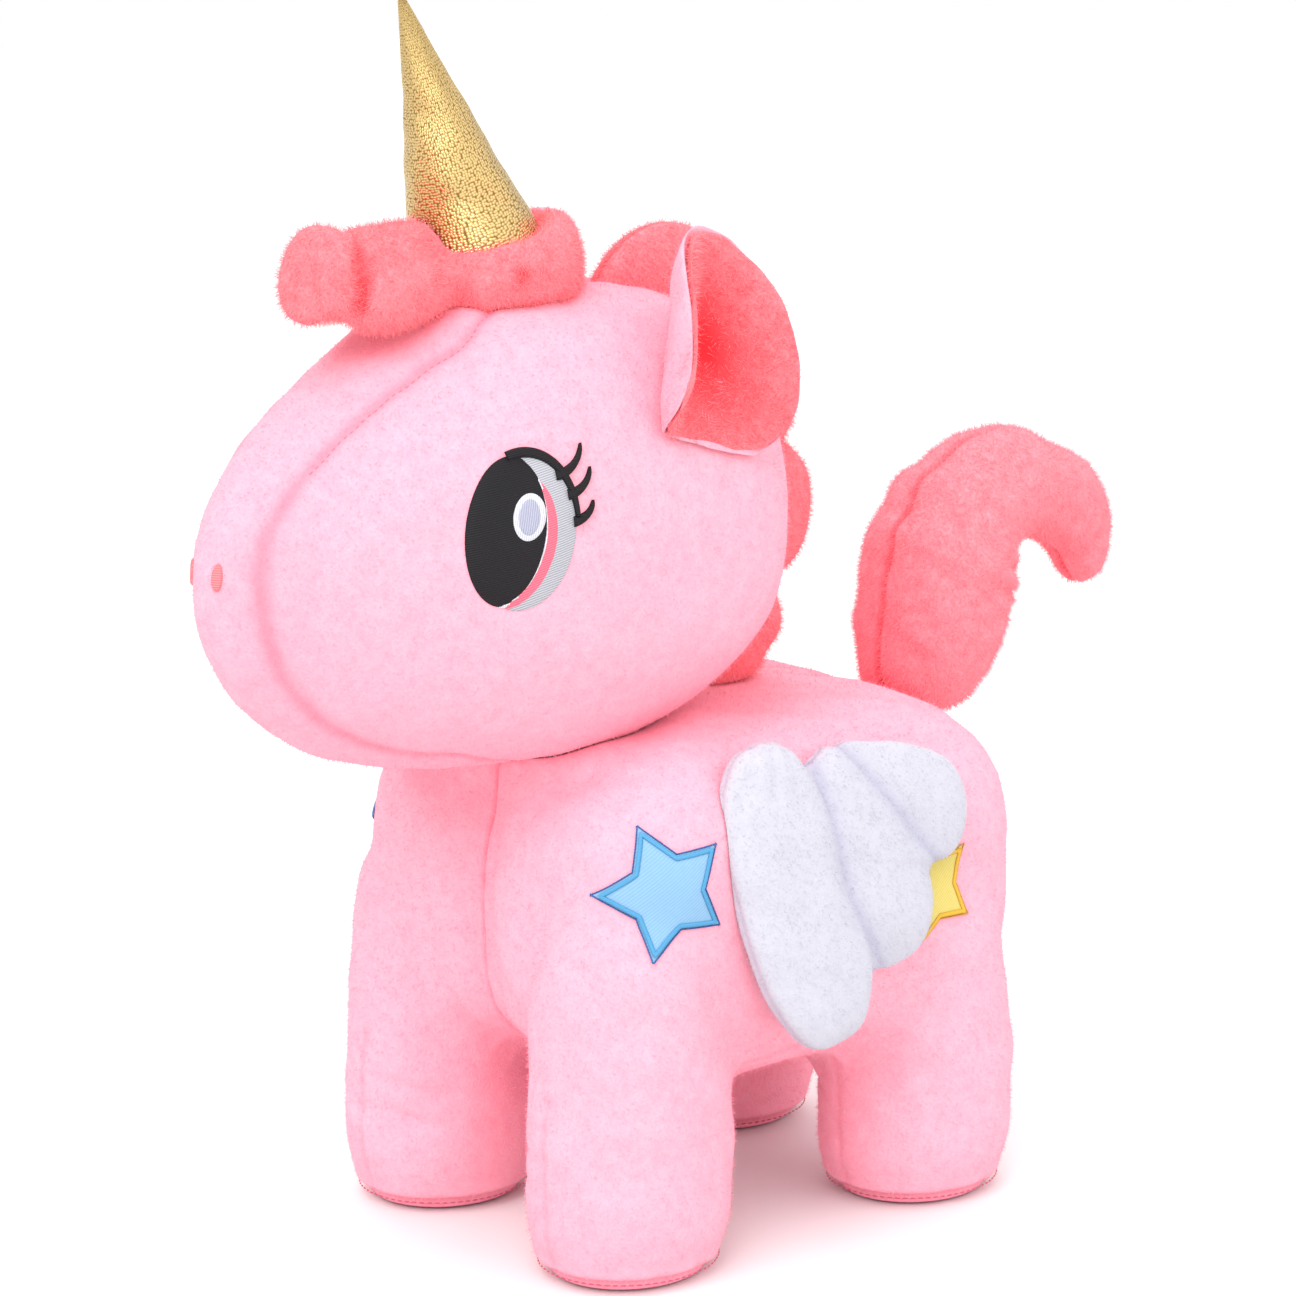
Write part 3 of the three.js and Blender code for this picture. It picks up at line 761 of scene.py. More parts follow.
def spline(knots: Sequence[Sequence[float]], count: int) -> Points:
    """A smooth line through some points.

    Args:
        knots: The points to pass through.
        count: How many points to give back.
    Returns:
        Points evenly spaced in the line's own parameter.
    """
    k = np.asarray(knots, float)
    k = np.vstack([2 * k[0] - k[1], k, 2 * k[-1] - k[-2]])
    out = []
    for t in np.linspace(0, len(k) - 3, count):
        i = min(int(t), len(k) - 4)
        u = t - i
        a, b, c, d = k[i : i + 4]
        out.append(0.5 * (2 * b + (c - a) * u + (2 * a - 5 * b + 4 * c - d) * u**2
                          + (3 * b - a - 3 * c + d) * u**3))
    return np.array(out)


def ripple(points: Points, length: float, seed: int) -> Points:
    """Soft irregular waves over space, between about -1 and 1.

    Args:
        points: Where to read them.
        length: The waves' length in millimetres.
        seed: Which waves.
    Returns:
        One value for each point.
    """
    random = np.random.default_rng(seed)
    total = np.zeros(len(points))
    for _ in range(7):
        way = random.normal(size=3)
        way *= TURN / length / np.linalg.norm(way) * random.uniform(0.6, 1.5)
        total += np.sin(points @ way + random.uniform(0, TURN))
    return total / 3.5


def bell(distance: Points, width: float) -> Points:
    """A smooth hump of height 1 at no distance, about a width to each side."""
    return np.exp(-((np.asarray(distance) / width) ** 2))


def distance_to_line(points: Points, line: Points) -> Points:
    """How far each point is from a line.

    Args:
        points: The points.
        line: The line's own points, joined by straight lengths.
    Returns:
        One distance for each point.
    """
    best = np.full(len(points), 1e9)
    for a, b in zip(line[:-1], line[1:]):
        along = b - a
        t = np.clip(((points - a) @ along) / max(float(along @ along), 1e-9), 0, 1)
        best = np.minimum(best, np.linalg.norm(points - (a + t[:, None] * along), axis=1))
    return best


# ---------------------------------------------------------------- pieces


@dataclass
class Workshop:
    """Turns forms into finished pieces that ride on their bodies."""

    finishes: Wardrobe = field(default_factory=Wardrobe)

    def piece(
        self, name: str, form: Form, finish: str, body: str, replaces: Sequence[str] = (),
        fold: Points | None = None, pile: Points | None = None, uv: Points | None = None,
    ) -> bpy.types.Object:
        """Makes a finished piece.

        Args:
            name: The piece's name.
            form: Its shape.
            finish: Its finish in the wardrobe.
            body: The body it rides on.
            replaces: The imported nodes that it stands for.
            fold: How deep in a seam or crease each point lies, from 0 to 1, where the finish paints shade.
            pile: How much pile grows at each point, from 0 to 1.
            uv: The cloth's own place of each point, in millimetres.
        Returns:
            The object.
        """
        mesh = form.mesh(name, MM, SHIFT)
        mesh.materials.append(self.finishes[finish])
        count = len(mesh.vertices)
        for key, values in (("fold", fold), ("pile", pile)):
            layer = mesh.attributes.new(key, "FLOAT", "POINT")
            default = 0.0 if key == "fold" else 1.0
            level = np.full(count, default) if values is None else np.clip(values, 0, 1)
            layer.data.foreach_set("value", level.astype(np.float32))
        if uv is not None:
            layer = mesh.uv_layers.new(name="Cloth")
            corner = np.empty(len(mesh.loops), np.int32)
            mesh.loops.foreach_get("vertex_index", corner)
            layer.data.foreach_set("uv", uv[corner].astype(np.float32).ravel())
        return self.settled(shown(name, mesh), body, replaces)

    def settled(
        self, made: bpy.types.Object, body: str, replaces: Sequence[str] = ()
    ) -> bpy.types.Object:
        """Lets a piece ride on its body, and reports it.

        Args:
            made: The piece.
            body: The body it rides on.
            replaces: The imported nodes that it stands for.
        Returns:
            The piece.
        """
        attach(made, body)
        if replaces:
            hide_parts(*replaces)
        log.info("%s rides on %s: %d faces", made.name, body, len(made.data.polygons))
        return made

    def grown(
        self, source: bpy.types.Object, name: str, tree: bpy.types.NodeTree, values: dict[str, Any],
        body: str,
    ) -> bpy.types.Object:
        """Makes a piece from a Geometry Nodes tree on another piece's mesh.

        Args:
            source: The piece whose mesh the tree starts from.
            name: The new piece's name.
            tree: The tree.
            values: Its inputs, by name.
            body: The body to ride on.
        Returns:
            The new piece, as a plain mesh.
        """
        holder = shown("growing", source.data)
        change = holder.modifiers.new("grow", "NODES")
        change.node_group = tree
        sockets = {s.name: s.identifier for s in tree.interface.items_tree if s.in_out == "INPUT"}
        for key, value in values.items():
            change[sockets[key]] = value
        mesh = plain_mesh(holder)
        mesh.name = name
        return self.settled(shown(name, mesh), body)


def named_inputs(tree: bpy.types.NodeTree, sizes: dict[str, str]) -> bpy.types.Node:
    """Gives a Geometry Nodes tree its inputs and its one output.

    Args:
        tree: The tree.
        sizes: The socket type of each input after the geometry, by name.
    Returns:
        The group input node.
    """
    tree.interface.new_socket(name="Geometry", in_out="INPUT", socket_type="NodeSocketGeometry")
    for name, kind in sizes.items():
        tree.interface.new_socket(name=name, in_out="INPUT", socket_type="NodeSocket" + kind)
    tree.interface.new_socket(name="Geometry", in_out="OUTPUT", socket_type="NodeSocketGeometry")
    return add_node(tree, "NodeGroupInput")


def pile_tree() -> bpy.types.NodeTree:
    """The tree that grows a pile of fine tapered fibres on a surface.

    Returns:
        The tree, with its density, sizes, lean and seed as inputs.
    """
    tree = bpy.data.node_groups.new("grow_pile", "GeometryNodeTree")
    given = named_inputs(tree, {
        "Density": "Float", "Length": "Float", "Thickness": "Float", "Spread": "Float",
        "Comb": "Vector", "Seed": "Int", "Material": "Material",
    }).outputs
    amount = add_node(tree, "GeometryNodeInputNamedAttribute", {"Name": "pile"}, data_type="FLOAT")
    density = add_node(
        tree, "ShaderNodeMath", {0: given["Density"], 1: amount.outputs[0]}, operation="MULTIPLY"
    )
    roots = add_node(
        tree, "GeometryNodeDistributePointsOnFaces",
        {"Mesh": given["Geometry"], "Density": density.outputs[0], "Seed": given["Seed"]},
    )
    stray = add_node(
        tree, "FunctionNodeRandomValue",
        {"Min": (-1.0, -1.0, -1.0), "Max": (1.0, 1.0, 1.0), "Seed": given["Seed"]},
        data_type="FLOAT_VECTOR",
    )
    lean = add_node(tree, "ShaderNodeVectorMath", {0: stray.outputs[0]}, operation="SCALE")
    tree.links.new(given["Spread"], lean.inputs["Scale"])
    combed = add_node(
        tree, "ShaderNodeVectorMath", {0: lean.outputs[0], 1: given["Comb"]}, operation="ADD"
    )
    way = add_node(
        tree, "ShaderNodeVectorMath", {0: combed.outputs[0], 1: roots.outputs["Normal"]}, operation="ADD"
    )
    turn = add_node(tree, "FunctionNodeAlignRotationToVector", {"Vector": way.outputs[0]}, axis="Z")
    fibre = add_node(
        tree, "GeometryNodeMeshCone",
        {"Vertices": 3, "Radius Top": 0.0, "Radius Bottom": given["Thickness"], "Depth": given["Length"]},
        fill_type="NGON",
    )
    size = add_node(
        tree, "FunctionNodeRandomValue", {2: 0.6, 3: 1.15, "Seed": given["Seed"]}, data_type="FLOAT"
    )
    tufts = add_node(
        tree, "GeometryNodeInstanceOnPoints",
        {"Points": roots.outputs["Points"], "Instance": fibre.outputs["Mesh"],
         "Rotation": turn.outputs[0], "Scale": size.outputs[1]},
    )
    real = add_node(tree, "GeometryNodeRealizeInstances", {"Geometry": tufts.outputs[0]})
    dressed = add_node(
        tree, "GeometryNodeSetMaterial", {"Geometry": real.outputs[0], "Material": given["Material"]}
    )
    add_node(tree, "NodeGroupOutput", {0: dressed.outputs[0]})
    return tree


def stitch_tree() -> bpy.types.NodeTree:
    """The tree that lays a row of stitches along a line of points.

    Returns:
        The tree, with its pitch, sizes, turn and seed as inputs.
    """
    tree = bpy.data.node_groups.new("lay_stitches", "GeometryNodeTree")
    given = named_inputs(tree, {
        "Pitch": "Float", "Length": "Float", "Thickness": "Float", "Turn": "Float", "Wander": "Float",
        "Seed": "Int", "Material": "Material",
    }).outputs
    line = add_node(tree, "GeometryNodeMeshToCurve", {"Mesh": given["Geometry"]})
    spaced = add_node(
        tree, "GeometryNodeResampleCurve", {"Curve": line.outputs[0], "Length": given["Pitch"]},
        mode="LENGTH",
    )
    out = add_node(tree, "GeometryNodeInputNamedAttribute", {"Name": "out"}, data_type="FLOAT_VECTOR")
    upright = add_node(
        tree, "FunctionNodeAlignRotationToVector", {"Vector": out.outputs[0]}, axis="Z"
    )
    tangent = add_node(tree, "GeometryNodeInputTangent")
    along = add_node(
        tree, "FunctionNodeAlignRotationToVector",
        {"Rotation": upright.outputs[0], "Vector": tangent.outputs[0]}, axis="X", pivot_axis="Z",
    )
    stray = add_node(
        tree, "FunctionNodeRandomValue", {2: -1.0, 3: 1.0, "Seed": given["Seed"]}, data_type="FLOAT"
    )
    wander = add_node(
        tree, "ShaderNodeMath", {0: stray.outputs[1], 1: given["Wander"]}, operation="MULTIPLY"
    )
    swing = add_node(tree, "ShaderNodeMath", {0: wander.outputs[0], 1: given["Turn"]}, operation="ADD")
    spin = add_node(tree, "ShaderNodeCombineXYZ", {"Z": swing.outputs[0]})
    facing = add_node(
        tree, "FunctionNodeRotateRotation",
        {"Rotation": along.outputs[0], "Rotate By": spin.outputs[0]}, rotation_space="LOCAL",
    )
    strand = add_node(tree, "GeometryNodeMeshUVSphere", {"Segments": 6, "Rings": 5, "Radius": 0.5})
    size = add_node(
        tree, "ShaderNodeCombineXYZ",
        {"X": given["Length"], "Y": given["Thickness"], "Z": given["Thickness"]},
    )
    laid = add_node(
        tree, "GeometryNodeInstanceOnPoints",
        {"Points": spaced.outputs[0], "Instance": strand.outputs["Mesh"],
         "Rotation": facing.outputs[0], "Scale": size.outputs[0]},
    )
    real = add_node(tree, "GeometryNodeRealizeInstances", {"Geometry": laid.outputs[0]})
    smooth = add_node(tree, "GeometryNodeSetShadeSmooth", {"Geometry": real.outputs[0]})
    dressed = add_node(
        tree, "GeometryNodeSetMaterial", {"Geometry": smooth.outputs[0], "Material": given["Material"]}
    )
    add_node(tree, "NodeGroupOutput", {0: dressed.outputs[0]})
    return tree


@dataclass(frozen=True)
class Pile:
    """The pile of one plush: its fibres for each square millimetre and their sizes."""

    density: float
    length: float
    thickness: float
    spread: float
    comb: tuple[float, float, float]
    fibre: str

    def grow(
        self, shop: Workshop, source: bpy.types.Object, body: str, slot: str, seed: int
    ) -> bpy.types.Object:
        """Grows the pile on a piece.

        Args:
            shop: The workshop.
            source: The piece that carries it.
            body: The body to ride on.
            slot: The record's material slot; not used.
            seed: Which fibres.
        Returns:
            The pile's own piece.
        """
        values = {
            "Density": self.density / MM**2, "Length": self.length * MM, "Thickness": self.thickness * MM,
            "Spread": self.spread, "Comb": self.comb, "Seed": seed, "Material": shop.finishes[self.fibre],
        }
        return shop.grown(source, source.name + "_pile", PILE_TREE, values, body)


@dataclass(frozen=True)
class Stitches:
    """A row of stitches: their pitch, length and thickness, and how they lie."""

    pitch: float
    length: float
    thickness: float
    lay: Lay
    thread: str
    wander: float = 0.08

    def sew(
        self, shop: Workshop, name: str, line: Points, out: Points, body: str, slot: str, closed: bool,
        seed: int = 1,
    ) -> bpy.types.Object:
        """Sews the row along a line.

        Args:
            shop: The workshop.
            name: The piece's name.
            line: The line's points in millimetres.
            out: The direction away from the cloth at each point.
            body: The body to ride on.
            slot: The record's material slot; not used.
            closed: Whether the line returns to its start.
            seed: Which small turns the stitches take.
        Returns:
            The stitches' own piece.
        """
        mesh = bpy.data.meshes.new(name + "_line")
        edges = [(i, i + 1) for i in range(len(line) - 1)] + ([(len(line) - 1, 0)] if closed else [])
        mesh.from_pydata(((line + SHIFT) * MM).tolist(), edges, [])
        layer = mesh.attributes.new("out", "FLOAT_VECTOR", "POINT")
        layer.data.foreach_set("vector", out.astype(np.float32).ravel())
        guide = bpy.data.objects.new(name + "_line", mesh)
        values = {
            "Pitch": self.pitch * MM, "Length": self.length * MM, "Thickness": self.thickness * MM,
            "Turn": math.pi / 2 * self.lay.value, "Wander": self.wander, "Seed": seed,
            "Material": shop.finishes[self.thread],
        }
        made = shop.grown(guide, name, STITCH_TREE, values, body)
        bpy.data.objects.remove(guide)
        return made


PILE_TREE = pile_tree()
STITCH_TREE = stitch_tree()

SHORT_PINK = Pile(0.33, 1.5, 0.085, 0.75, (0.0, 0.1, -0.35), "pink_fibre")
SHORT_WHITE = Pile(0.4, 1.4, 0.085, 0.75, (0.0, 0.1, -0.35), "white_fibre")
LONG_CORAL = Pile(1.7, 3.0, 0.085, 0.8, (0.0, 0.0, -0.25), "coral_fibre")
LONG_BLUSH = Pile(1.5, 2.6, 0.085, 0.8, (0.0, 0.0, -0.25), "blush_fibre")


# ---------------------------------------------------------------- embroidery on a surface


@dataclass
class Hoop:
    """A flat drawing plane held in front of a surface, from which embroidery is laid onto it."""

    centre: Points
    outward: Points
    surface: BVHTree

    def __post_init__(self) -> None:
        """Works out the plane's own directions: across to the right, and up."""
        self.outward = np.asarray(self.outward, float) / np.linalg.norm(self.outward)
        across = np.cross([0.0, 0.0, 1.0], self.outward)
        self.across = across / np.linalg.norm(across)
        self.up = np.cross(self.outward, self.across)

    def laid(self, u: float, v: float) -> tuple[Points, Points]:
        """The place on the surface behind a point of the plane.

        Args:
            u: Across.
            v: Up.
        Returns:
            The place and the surface's outward direction there.
        """
        start = np.asarray(self.centre) + self.across * u + self.up * v + self.outward * 30
        found, out, _, _ = self.surface.ray_cast(Vector(start), Vector(-self.outward))
        if found is None:
            raise ValueError(f"the embroidery misses the cloth at {u:.1f}, {v:.1f}")
        return np.array(found), np.array(out)

    def patch(self, u: Points, v: Points, height: Points, sunk: float = 0.8) -> tuple[Form, Points]:
        """A closed raised patch over a grid of plane points.

        Args:
            u: Across, rows by columns.
            v: Up, rows by columns.
            height: How far each point stands off the surface.
            sunk: How far the underside lies below it.
        Returns:
            The form, and the plane place of each of its points in millimetres.
        """
        top, bottom = np.empty((*u.shape, 3)), np.empty((*u.shape, 3))
        for i in np.ndindex(u.shape):
            place, out = self.laid(float(u[i]), float(v[i]))
            top[i], bottom[i] = place + out * height[i], place - out * sunk
        flat = np.stack([u, v], -1).reshape(-1, 2)
        return Form.grid(top, bottom), np.vstack([flat, flat])

    def disc(
        self, outline: Points, middle: Sequence[float], height: float, rings: int = 10
    ) -> tuple[Form, Points]:
        """A domed patch inside a closed outline.

        Args:
            outline: The outline's plane points.
            middle: The plane point that its rings shrink to.
            height: How far it stands off the surface.
            rings: Rings of faces from the middle to the edge.
        Returns:
            The form, and the plane place of each of its points in millimetres.
        """
        rim = np.asarray(outline, float)
        middle = np.asarray(middle, float)
        count = len(rim)
        share = np.sin(np.linspace(0, math.pi / 2, rings + 1))[1:]
        plane = np.vstack([middle[None]] + [middle + (rim - middle) * s for s in share])
        rise = np.concatenate([[height]] + [np.full(count, height * (1 - s**10 * 0.75)) for s in share])
        top, bottom = [], []
        for (u, v), h in zip(plane, rise):
            place, out = self.laid(float(u), float(v))
            top.append(place + out * h)
            bottom.append(place - out * 0.8)
        total = len(plane)
        faces: list[tuple[int, ...]] = []
        for c in range(count):
            n = (c + 1) % count
            faces += [(0, 1 + c, 1 + n), (total, total + 1 + n, total + 1 + c)]
            for r in range(rings - 1):
                a, b = 1 + r * count, 1 + (r + 1) * count
                q = (a + c, b + c, b + n, a + n)
                faces += [q, tuple(total + i for i in reversed(q))]
            a = 1 + (rings - 1) * count
            faces.append((a + c, total + a + c, total + a + n, a + n))
        return Form(np.vstack([top, bottom]), faces).outward(), np.vstack([plane, plane])

    def stroke(self, line: Points, half_widths: Points, height: float) -> tuple[Form, Points]:
        """A rounded band along a plane line, whose width changes.

        Args:
            line: The line's plane points.
            half_widths: Half its width at each.
            height: How far its middle stands off the surface.
        Returns:
            The form, and the plane place of each of its points in millimetres.
        """
        way = np.gradient(line, axis=0)
        way /= np.linalg.norm(way, axis=1, keepdims=True)
        side = np.stack([-way[:, 1], way[:, 0]], 1)
        across = np.linspace(-1, 1, 7)
        grid = line[:, None] + side[:, None] * half_widths[:, None, None] * across[None, :, None]
        rise = np.tile(height * (1 - 0.8 * across**4), (len(line), 1))
        return self.patch(grid[..., 0], grid[..., 1], rise)


# ---------------------------------------------------------------- head


@dataclass
class Head:
    """The stuffed head: an egg with a narrow nose, sewn from two sides and a face panel."""

    nose_y: float = -192.5
    length: float = 210.5
    axis_z: float = 234.0
    half_width: float = 64.0
    crown: float = 78.0
    chin: float = 74.0
    widest: float = 0.66
    crown_share: float = 0.66
    chin_share: float = 0.52
    fullness: float = 2.5
    roundness: float = 2.25
    nose_half: float = 15.0
    brow_half: float = 27.0
    brow_y: float = -112.0
    back_y: float = -36.0
    horn_y: float = -98.0
    horn_rise: float = 7.0
    seam_depth: float = 0.8
    seam_width: float = 1.9

    def reach(self, share: Points, size: float, widest: float) -> Points:
        """Half a size of the head along its length.

        Args:
            share: Shares of the length from the nose.
            size: The size where it is largest.
            widest: The share where that is.
        Returns:
            The half size at each share.
        """
        skewed = share ** (math.log(0.5) / math.log(widest))
        return size * np.maximum(0, 1 - np.abs(1 - 2 * skewed) ** self.fullness) ** (1 / self.fullness)

    def egg(self, inset: float, rows: int = 72, columns: int = 96) -> Form:
        """The head's smooth form.

        Args:
            inset: How far its surface is moved in.
            rows: Faces from nose to back.
            columns: Faces around.
        Returns:
            The form.
        """

        def place(p: Points) -> Points:
            """Moves the unit ball's points, poles front and back, to the head's skin."""
            share = 0.5 - 0.5 * np.cos(np.pi * np.arccos(np.clip(p[:, 2], -1, 1)) / np.pi)
            ring = np.arctan2(p[:, 1], p[:, 0])
            power = 2 / self.roundness
            across = np.sign(np.cos(ring)) * np.abs(np.cos(ring)) ** power
            up = np.sign(np.sin(ring)) * np.abs(np.sin(ring)) ** power
            height = np.where(
                up > 0, self.reach(share, self.crown - inset, self.crown_share),
                self.reach(share, self.chin - inset, self.chin_share))
            width = self.reach(share, self.half_width - inset, self.widest)
            y = self.nose_y + inset + share * (self.length - 2 * inset)
            return np.stack([across * width, y, self.axis_z + up * height], 1)

        return Form.ball(place, rows, columns)

    def panel_half(self, y: Points) -> Points:
        """Half the width of the face panel.

        Args:
            y: Places along the head.
        Returns:
            The half width at each.
        """
        front = self.nose_half + (self.brow_half - self.nose_half) * np.clip(
            (y - self.nose_y) / (self.brow_y - self.nose_y), 0, 1)
        back = self.brow_half * np.clip((self.back_y - y) / (self.back_y - self.brow_y), 0, 1)
        return np.where(y < self.brow_y, front, back)

    def shaped(self) -> tuple[Form, Points]:
        """The finished head with its seams and small dents.

        Returns:
            The form, and how deep in a seam each point lies, for the painted shade there.
        """
        form = self.egg(1.2).welded(5.0)
        seam = np.abs(np.abs(form.points[:, 0]) - self.panel_half(form.points[:, 1])) < 3.5
        form = form.inflated(seam, 3.0, 2.0).finer(2)
        p = form.points
        away = np.abs(p[:, 0]) - self.panel_half(p[:, 1])
        behind = p[:, 1] > self.back_y
        away = np.where(behind, np.abs(p[:, 0]), away)
        line = bell(away, self.seam_width)
        valley = bell(away, 9.0)
        pucker = 1 + 0.35 * np.sin(p[:, 1] * TURN / 11 + 3 * ripple(p, 60, 5))
        form.pushed(-self.seam_depth * line * pucker - 0.4 * valley + 0.8 * ripple(p, 55, 2)
                    + 0.25 * ripple(p, 16, 3))
        foot = np.hypot(p[:, 0], p[:, 1] - self.horn_y)
        form.points[:, 2] += self.horn_rise * bell(foot, 42) * np.clip((p[:, 2] - 250) / 40, 0, 1)
        # Painted shade in the face panel's seams and the valleys beside them.
        return form, 0.4 * line + 0.1 * valley


@dataclass
class Eye:
    """An embroidered eye: a black oval before a pink and a grey crescent, with a lid and lashes."""

    x: float = 55.0
    y: float = -112.0
    z: float = 244.0
    facing: float = 66.0
    lift: float = 4.0
    slant: float = 7.0
    grey: tuple[float, float, float, float] = (17.4, 23.6, 1.2, 0.2)
    pink: tuple[float, float, float, float] = (14.6, 21.9, -1.0, -0.8)
    pupil: tuple[float, float, float, float] = (13.4, 22.8, -3.4, 0.8)
    shine_rim: tuple[float, float, float, float] = (5.9, 8.3, 3.0, 5.0)
    shine: tuple[float, float, float, float] = (4.1, 6.4, 3.0, 5.0)
    lid_half: float = 1.65
    lashes: tuple[tuple[float, float, float, float], ...] = (
        (13.7, 17.8, 7.2, 8.2), (17.4, 11.8, 6.2, 7.0), (19.2, 3.6, 5.0, 5.2))

    def hoop(self, side: Side, cloth: BVHTree) -> Hoop:
        """The eye's drawing plane.

        Args:
            side: The side of the head.
            cloth: The head's surface.
        Returns:
            The plane, with the surface behind it.
        """
        azimuth, lift = math.radians(self.facing), math.radians(self.lift)
        out = np.array([
            math.sin(azimuth) * math.cos(lift), -math.cos(azimuth) * math.cos(lift), math.sin(lift)])
        mirror = np.array([side.value, 1, 1])
        return Hoop(np.array([self.x, self.y, self.z]) * mirror, out * mirror, cloth)

    def oval(
        self, size: tuple[float, float, float, float], side: Side, count: int = 72
    ) -> tuple[Points, Points]:
        """The outline and middle of one oval.

        Args:
            size: Half width, half height and middle, with +X towards the back of the head.
            side: The side of the head.
            count: Points round it.
        Returns:
            The outline's points, and its middle.
        """
        turn = np.linspace(0, TURN, count, endpoint=False)
        flat = np.stack([size[0] * np.cos(turn), size[1] * np.sin(turn)], 1)
        c, s = math.cos(math.radians(-self.slant)), math.sin(math.radians(-self.slant))
        middle = np.array(size[2:])
        rim = flat @ np.array([[c, s], [-s, c]]) + middle
        mirror = np.array([side.value, 1])
        return rim * mirror, middle * mirror

    def build(self, shop: Workshop, cloth: BVHTree, side: Side) -> None:
        """Embroiders the eye.

        Args:
            shop: The workshop.
            cloth: The head's surface.
            side: The side of the head.
        """
        hoop = self.hoop(side, cloth)
        word = side.word
        wide, tall, x, y = self.pupil
        layers = [
            ("grey_crescent", self.grey, "grey", 0.75, "grey_thread", ["eye_grey_ring"]),
            ("pink_crescent", self.pink, "pink_thread", 0.95, "pink_thread", ["eye_pink_ring"]),
            ("white_edge", (wide + 0.3, tall - 0.2, x + 1.0, y - 0.6), "rim", 1.05, "white_thread", []),
            ("black_oval", self.pupil, "black", 1.25, "black_thread", ["eye_pupil"]),
            ("highlight_rim", self.shine_rim, "rim", 1.5, "white_thread", []),
            ("highlight", self.shine, "shine", 1.75, "white_thread", ["eye_shine"]),
        ]
        for name, size, finish, height, slot, nodes in layers:
            rim, middle = self.oval(size, side)
            form, uv = hoop.disc(rim, middle, height)
            shop.piece(f"eye_{name}_{word}", form, finish, "head",
                       [f"{n}_{word}" for n in nodes], uv=uv)
        rim, _ = self.oval((self.grey[0] + 0.5, self.grey[1] + 0.5, *self.grey[2:]), side, 144)
        arc = rim[6:46]
        taper = np.sin(np.linspace(0.12, 1.0, len(arc)) * math.pi / 2 + 0.15) ** 0.6
        form, uv = hoop.stroke(arc, self.lid_half * np.clip(taper, 0.35, 1), 1.3)
        bands = [form]
        places = [uv]
        for x, y, back, rise in self.lashes:
            t = np.linspace(0, 1, 14)
            line = np.stack([x - 1.5 + (back + 1.5) * np.sin(t * math.pi / 2),
                             y - 1.0 + (rise + 1.0) * t**1.7], 1)
            form, uv = hoop.stroke(line * [side.value, 1], 1.6 * (1 - t) ** 0.6 + 0.18, 1.35)
            bands.append(form)
            places.append(uv)
        shop.piece(f"eye_lid_and_lashes_{word}", bands[0].with_others(*bands[1:]), "black", "head",
                   [f"eye_lashes_{word}"], uv=np.vstack(places))


@dataclass
class Nostril:
    """A small upright oval in satin stitch on the end of the nose."""

    x: float = 6.5
    z: float = 233.0
    half_width: float = 1.5
    half_height: float = 4.2

    def build(self, shop: Workshop, cloth: BVHTree, side: Side) -> None:
        """Embroiders the nostril.

        Args:
            shop: The workshop.
            cloth: The head's surface.
            side: The side of the nose.
        """
        hoop = Hoop(np.array([self.x * side.value, -196.0, self.z]), np.array([0.0, -1.0, 0.0]), cloth)
        turn = np.linspace(0, TURN, 36, endpoint=False)
        rim = np.stack([self.half_width * np.cos(turn), self.half_height * np.sin(turn)], 1)
        form, uv = hoop.disc(rim, (0, 0), 0.9, 5)
        shop.piece(f"nostril_stitch_{side.word}", form, "salmon", "head",
                   [f"nostril_{side.word}"], uv=uv)


# ---------------------------------------------------------------- body


